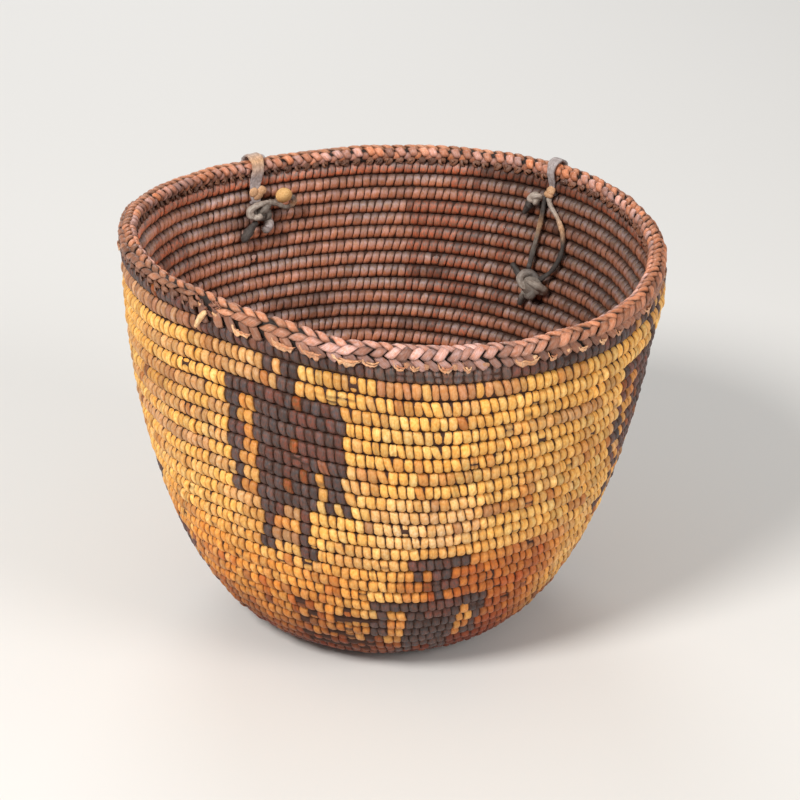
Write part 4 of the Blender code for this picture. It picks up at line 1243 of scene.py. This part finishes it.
def add_tube(bundle, route, radii, colours, rng, flat=1.0):
    """Round or flattened cord along a route, with closed ends; radii and colours run along it."""
    first, second = tube_frames(route)
    length = np.append(0.0, np.cumsum(np.linalg.norm(np.diff(route, axis=0), axis=1)))
    share = length / length[-1]
    size = spread_along(share, radii)
    end = np.minimum(length, length[-1] - length) / np.maximum(size, 1e-6)
    size = size * np.sqrt(clip(1 - (1 - clip(end, 0, 1)) ** 2, 0.0004, 1))
    size = size * (1 + 0.07 * sin(length / 0.0011 + rng.uniform(0, 6)) + 0.05 * sin(length / 0.00047))
    around = linspace(0, 2 * np.pi, TUBE_SIDES, endpoint=False)[:, None]
    wave = 1 + 0.10 * cos(2 * around + 3 + 400 * length) + 0.06 * cos(3 * around + 1)
    one = (cos(around) * size * wave)[..., None]
    two = (sin(around) * size * wave * flat)[..., None]
    points = route + one * first + two * second
    tint = spread_along(share, colours) * (1 + 0.12 * cos(around * 2 + 1))[..., None]
    strand = np.broadcast_arrays(length / MM, around * size.mean() / MM, rng.uniform(0, LAST_STRAND))
    bundle.add(points[None], tint[None], np.stack(strand, axis=-1)[None])


def add_lump(bundle, middle, axes, colour, rng, roughness=0.07):
    """Closed lump of hide, with slow dents."""
    across = linspace(0.02, np.pi - 0.02, LUMP_RINGS)[None, :]
    around = linspace(0, 2 * np.pi, LUMP_SIDES, endpoint=False)[:, None]
    ball = np.broadcast_arrays(sin(across) * cos(around), sin(across) * sin(around), cos(across))
    ball = np.stack(ball, axis=-1)
    dents = 1
    for _ in range(6):
        direction = rng.standard_normal(3)
        direction /= np.linalg.norm(direction)
        dents = dents + roughness * sin(3.2 * ball @ direction + rng.uniform(0, 6)) / 2
    local = ball * dents[..., None]
    tint = colour * (1 + 1.2 * (dents - 1))[..., None]
    strand = local * 4 + rng.uniform(0, LAST_STRAND)
    bundle.add((middle + local @ np.array(axes))[None], tint[None], strand[None])


def tie_axes(tie, sizes=(1000, 1000, 1000)):
    """Directions across, up and off the rows at a tie, each as long as its size in millimetres."""
    c = math.cos(tie[0])
    s = math.sin(tie[0])
    return np.array(((s, -c, 0), (0, 0, 1), (-c, -s, 0))) * MM * np.array(sizes)[:, None]


def add_tie_lump(bundle, tie, place, sizes, colour, rng, roughness=0.07):
    """Lump at a place on a tie, with its half sizes in millimetres."""
    add_lump(bundle, tie_points(tie, place), tie_axes(tie, sizes), colour, rng, roughness)


def add_knot(bundle, tie, middle, size, thickness, colours, rng, tilt):
    """Overhand knot: a cord wound through itself, round a lump that fills its middle."""
    t = linspace(0, 2 * np.pi, 73)
    half = [extent / 2 - thickness for extent in size]
    x = half[0] * (sin(t) + 2 * sin(2 * t)) / 2.75
    y = half[1] * (cos(t) - 2 * cos(2 * t)) / 2.75
    z = -half[2] * sin(3 * t)
    c = math.cos(tilt)
    s = math.sin(tilt)
    loops = np.stack((x * c - y * s, x * s + y * c, z), axis=-1)
    route = tie_points(tie, middle) + MM * loops @ tie_axes(tie)
    add_tube(bundle, route, MM * thickness * np.array((1, 1.12, 0.9, 1.1, 1)), colours, rng, 0.9)
    add_tie_lump(bundle, tie, middle, [0.36 * extent for extent in size], colours[0] * 0.6, rng)


def add_strap(bundle, tie, widths, thickness, colours, drifts):
    """Flat strap bent round the rim and back through the wall, closed on itself.

    widths, colours and drifts to the right run from its outer end, over the rim, to its inner
    end. Sizes are in millimetres.
    """
    angle, rows_held = tie
    thickness = thickness * MM
    slot = tie_reach(tie)
    stand = COIL_RADIUS + CLEARANCE + thickness / 2
    middle = rim_reach(angle)
    rises = linspace(slot, slot + (rows_held - 0.5) * ROW_PITCH, 3 + 2 * rows_held) - middle
    arc = BRAID_RADIUS + CLEARANCE + thickness / 2 + 0.0008
    bends = np.radians(range(0, 181, 15))
    up = np.concatenate((rises, arc * sin(bends), rises[::-1], np.full(3, slot - middle), rises[:1]))
    out = np.concatenate((stand + 0 * rises, arc * cos(bends), -stand + 0 * rises,
                          (-0.5 * stand, 0, 0.5 * stand, stand)))
    length = np.append(0.0, np.cumsum(np.hypot(np.diff(up), np.diff(out))))
    places = linspace(0, length[-1], STRAP_STEPS + 1)[:-1]
    up = interp(places, length, up)
    out = interp(places, length, out)
    for _ in range(2):
        up = (np.roll(up, 1) + 2 * up + np.roll(up, -1)) / 4
        out = (np.roll(out, 1) + 2 * out + np.roll(out, -1)) / 4
    run_up = np.roll(up, -1) - np.roll(up, 1)
    run_out = np.roll(out, -1) - np.roll(out, 1)
    step = np.hypot(run_up, run_out)
    share = (places / length[-1])[:, None]
    width = spread_along(share, widths) * MM * (1 + 0.05 * sin(share * 41 + 1) + 0.03 * sin(share * 97))
    side = linspace(0, 2 * np.pi, STRAP_SIDES, endpoint=False)[None, :]
    across = squarish(cos(side), 2 / 4) * width / 2
    curl = 0.00022 * (2 * across / width) ** 2
    dents = 0.00010 * sin(across / 0.0007 + 60 * share)
    thick = squarish(sin(side), 2 / 3) * thickness / 2 + curl + dents
    reach = middle + up[:, None] - thick * (run_out / step)[:, None]
    off = out[:, None] + thick * (run_up / step)[:, None]
    drift = spread_along(share / 0.93, drifts) * MM
    points = wall_points(angle - (across + drift) / RIM_RADIUS, reach, off)
    tint = spread_along(share, colours) * (1 - 0.25 * np.abs(cos(side)) ** 8)[..., None]
    strand = np.stack(np.broadcast_arrays(places[:, None] / MM, across / MM, 7.0), axis=-1)
    points, tint, strand = (np.append(grid, grid[:, :1], axis=1)[None] for grid in (points, tint, strand))
    bundle.add(points, tint, strand)


def make_cord(name, tie, places, radii, colours, body, node, rng):
    """A free end of hide, on its own, with its route."""
    bundle = Bundle()
    route = tie_points(tie, smooth_route(places))
    add_tube(bundle, route, MM * np.array(radii), colours, rng)
    return bundle.build(name, "grey_hide", node, body=body), route


def make_left_tie():
    """Wide strap round the rim, its knot, and its curled end, short end and tail."""
    rng = np.random.default_rng(LEFT_TIE_SEED)
    strap = Bundle()
    # Along the strap: grey at its ends, and pale over the rim's top as a painted highlight
    colours = [GREY_HIDE, *tones(STRAP_HIDE, 0.8, 0.9, 0.8), PALE_HIDE_AND_HIGHLIGHT]
    colours += [*tones(STRAP_HIDE, 0.9, 0.8, 0.75), GREY_HIDE]
    add_strap(strap, LEFT_TIE, (4.4, 5.0, 5.8, 6.8, 6.4, 5.8, 4.8, 4.2), 1.5, colours,
              (-2.2, -1.0, -1.4, -3.2, -2.4))
    add_lump(strap, rim_points(LEFT_TIE[0] - 0.0016 / RIM_RADIUS, math.radians(100), BRAID_RADIUS + 0.0013),
             tie_axes(LEFT_TIE, (1.8, 1.3, 2.4)), STRAP_HIDE * 0.8, rng)
    strap.build("left_strap", "grey_hide", "left_tie_loop")
    cinch = Bundle()
    add_tie_lump(cinch, LEFT_TIE, (-4.2, -6.6, 1.4), (2.3, 2.3, 1.3), PALE_HIDE_AND_HIGHLIGHT, rng)
    add_tie_lump(cinch, LEFT_TIE, (0.0, -6.6, 1.4), (2.3, 2.3, 1.3), PALE_HIDE_AND_HIGHLIGHT, rng)
    add_tie_lump(cinch, LEFT_TIE, (-1.8, -4.6, 1.3), (2.6, 2.2, 1.2), PALE_HIDE_AND_HIGHLIGHT * 0.85, rng)
    cinch.build("left_cinch", "pale_hide", "left_tie_loop")

    knot = Bundle()
    add_knot(knot, LEFT_TIE, (-0.6, 4.0, 3.2), (10.8, 8.8, 5.8), 1.4,
             tones(GREY_HIDE, 0.55, 0.7, 0.45, 0.75, 0.5), rng, 0.5)
    curl = ((5.0, -0.4, 4.2), (0.7, -1.3, 4.3), (-4.8, -0.7, 4.3), (-8.5, 1.2, 4.2), (-8.1, 4.0, 4.3),
            (-4.8, 5.2, 4.8), (-2.4, 4.0, 5.4))
    add_tube(knot, tie_points(LEFT_TIE, smooth_route(curl)), MM * np.array((1.1, 1.3, 1.4, 1.5, 1.2)),
             tones(GREY_HIDE, 1.2, 1.35, 1.4, 1.5, 1.3), rng)
    knot.build("left_knot", "grey_hide", "left_tie_knot", body="left_tie")

    make_cord("left_curled_end", LEFT_TIE,
              ((1.6, -1.2, 4.3), (4.8, -0.6, 4.4), (8.0, 1.0, 4.3), (10.8, 2.8, 4.0), (13.4, 2.4, 4.4),
               (15.0, 0.2, 5.2), (13.8, -2.4, 6.4), (11.2, -4.0, 7.4)),
              (1.3, 1.4, 1.2, 1.3, 1.2, 1.4, 1.3, 1.1),
              tones(GREY_HIDE, 1, 1.2, 1.1, 1, 1) + [PALE_HIDE_AND_HIGHLIGHT * 1.1, GREY_HIDE, GREY_HIDE],
              "left_tie", "left_tie_curled_end", rng)
    ball = Bundle()
    add_tie_lump(ball, LEFT_TIE, (8.0, -5.2, 8.4), (3.9, 3.4, 2.7), BALL_HIDE, rng, 0.05)
    ball.build("left_end_knot", "pale_hide", "left_tie_curled_end", body="left_tie")
    make_cord("left_short_end", LEFT_TIE,
              ((1.2, 7.4, 3.4), (2.6, 9.8, 3.0), (2.0, 12.2, 2.6), (-0.2, 14.2, 2.0)),
              (1.6, 2.4, 2.4, 1.3), [GREY_HIDE * 0.8, *tones(STRAP_HIDE, 0.9, 0.85), GREY_HIDE * 0.6],
              "left_tie", "left_tie_short_end", rng)
    make_cord("left_tail", LEFT_TIE,
              ((-3.8, 7.6, 3.0), (-6.8, 10.8, 2.4), (-9.6, 14.0, 2.2), (-12.0, 17.2, 2.0)),
              (1.2, 1.6, 2.3, 2.1, 1.0), tones(DARK_HIDE, 1, 1.2, 1.7, 1), "left_tie", "left_tie_tail", rng)


def make_right_tie():
    """Narrow strap round the rim, the upper knot, two long strands, and the lower knot with its ends."""
    rng = np.random.default_rng(RIGHT_TIE_SEED)
    strap = Bundle()
    add_strap(strap, RIGHT_TIE, (3.4, 3.8, 4.6, 5.4, 4.0, 3.2, 3.2, 3.4), 1.4,
              [GREY_HIDE, GREY_HIDE, *tones(STRAP_HIDE, 0.7, 0.7, 0.75, 0.6, 0.75), GREY_HIDE],
              (2.6, 1.4, 1.6, 3.4, 2.6))
    strap.build("right_strap", "grey_hide", "right_tie_loop")
    cinch = Bundle()
    add_tie_lump(cinch, RIGHT_TIE, (3.4, -2.6, 1.6), (2.2, 2.1, 1.4), PALE_HIDE_AND_HIGHLIGHT, rng)
    add_tie_lump(cinch, RIGHT_TIE, (2.4, -0.6, 1.6), (2.4, 2.0, 1.4), PALE_HIDE_AND_HIGHLIGHT * 0.9, rng)
    cinch.build("right_cinch", "pale_hide", "right_tie_loop")

    def end(name, places, radii, colours, node):
        return make_cord(name, RIGHT_TIE, places, radii, colours, "right_tie", node, rng)

    upper = Bundle()
    add_knot(upper, RIGHT_TIE, (-3.4, 1.9, 4.0), (6.2, 6.4, 5.8), 1.3,
             tones(GREY_HIDE, 1.4, 1.6, 1.2, 1.5), rng, 0.3)
    upper.build("right_upper_knot", "grey_hide", "right_tie_upper_knot", body="right_tie")
    end("right_upper_tail", ((-5.4, 3.4, 3.2), (-7.6, 6.2, 2.4), (-9.4, 9.0, 2.0), (-10.6, 11.2, 1.8)),
        (1.7, 1.8, 1.4, 0.9), tones(DARK_HIDE, 1.4, 1, 1), "right_tie_upper_tail")

    lower = Bundle()
    add_knot(lower, RIGHT_TIE, (1.2, 42.0, 4.4), (15.6, 13.0, 8.0), 1.8,
             tones(GREY_HIDE, 1.3, 1, 0.7) + [DARK_HIDE * 1.8, GREY_HIDE * 1.5], rng, -0.4)
    lower_knot = lower.build("right_lower_knot", "grey_hide", "right_tie_lower_knot", body="right_tie")
    left_end, _ = end("right_left_end", ((-7.2, 39.6, 3.6), (-10.8, 37.0, 2.6), (-14.0, 35.0, 2.0)),
                      (1.3, 1.6, 1.2), tones(DARK_HIDE, 1.3, 1, 1), "right_tie_left_end")
    lower_end, _ = end("right_lower_end", ((-3.6, 45.6, 3.4), (-5.0, 49.4, 2.6), (-6.2, 53.6, 1.8)),
                       (1.4, 1.5, 0.9), [GREY_HIDE, *tones(DARK_HIDE, 1.6, 1)], "right_tie_lower_end")
    left_places = ((-0.3, 0.6, 1.3), (-0.2, 4.4, 1.3), (-1.3, 15.2, 1.3), (-2.8, 26.5, 1.8),
                   (-3.0, 35.8, 3.4))
    right_places = ((2.2, 0.6, 1.3), (3.8, 4.4, 1.3), (9.4, 9.8, 1.3), (13.4, 16.6, 1.3), (13.6, 25.0, 1.4),
                    (10.2, 33.0, 2.2), (4.0, 39.2, 3.4))
    left_colours = [*tones(DARK_HIDE, 1.2, 1.6), PALE_HIDE_AND_HIGHLIGHT * 0.7, GREY_HIDE * 0.8]
    left_colours += tones(DARK_HIDE, 1.6, 1.4)
    right_colours = tones(GREY_HIDE, 1.5, 1.6) + [PALE_HIDE_AND_HIGHLIGHT] + tones(DARK_HIDE, 1.4, 1, 1.2, 1)
    for name, places, colours, ends in (
            ("left_strand", left_places, left_colours, [lower_knot, left_end, lower_end]),
            ("right_strand", right_places, right_colours, [lower_knot])):
        strand, route = end("right_" + name, places, (1.1, 1.1, 1.1), colours, "right_tie_" + name)


START_WRAPS = 11


def make_start_knot():
    """Button inside the coil's first loop: splints wound round a small ring."""
    low, high = (np.array(corner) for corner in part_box("start_knot"))
    middle = (low + high) / 2
    radius = (high[0] - low[0]) / 2
    half_tall = (high[2] - low[2]) / 2
    rng = np.random.default_rng(START_KNOT_SEED)
    bundle = Bundle()
    t = linspace(0, 2 * np.pi, 29)
    for number in range(START_WRAPS):
        turned = 2 * math.pi * (number + rng.uniform(-0.1, 0.1)) / START_WRAPS + 0.22 * sin(t)
        out = radius * (0.55 - 0.38 * cos(t))
        loop = (out * cos(turned), out * sin(turned), 0.80 * half_tall * sin(t))
        route = middle + np.stack(loop, axis=-1)
        tone = mix(INSIDE_UPPER, INSIDE_LOWER, rng.random())
        radii = 0.26 * radius * np.array((0.8, 1, 1.15, 1, 0.8))
        add_tube(bundle, route, radii, tones(tone, 1, 0.9, 1), rng)
    add_lump(bundle, middle, np.diag((0.3 * radius, 0.3 * radius, 0.5 * half_tall)), INSIDE_DARK, rng)
    bundle.build("start_wraps", "stitches", "start_knot")


def make_stub():
    """Short pale thong hanging out under the braid, where the coil ends."""
    angle = END_ANGLE + np.radians((2.4, 1.9, 1.3, 0.4, 0.0))
    below = MM * np.array((0.4, 2.0, 3.6, 6.6, 8.6))
    off = COIL_RADIUS + MM * np.array((0.6, 1.2, 1.4, 1.4, 1.4))
    route = smooth_route(wall_points(angle, rim_reach(END_ANGLE) - below, off), 6)
    bundle = Bundle()
    radii = MM * np.array((1.3, 1.4, 1.2, 1.2, 1.0))
    add_tube(bundle, route, radii, tones(TORN, 1, 1.05, 0.9), np.random.default_rng(STUB_SEED), 0.75)
    bundle.build("hide_stub_end", "pale_hide", "hide_stub")


MATERIALS = {slot: splint_material(*values) for slot, values in MATERIAL_VALUES.items()}
add_camera()
add_stage()
make_coil()
make_rim()
make_left_tie()
make_right_tie()
make_stub()
make_start_knot()
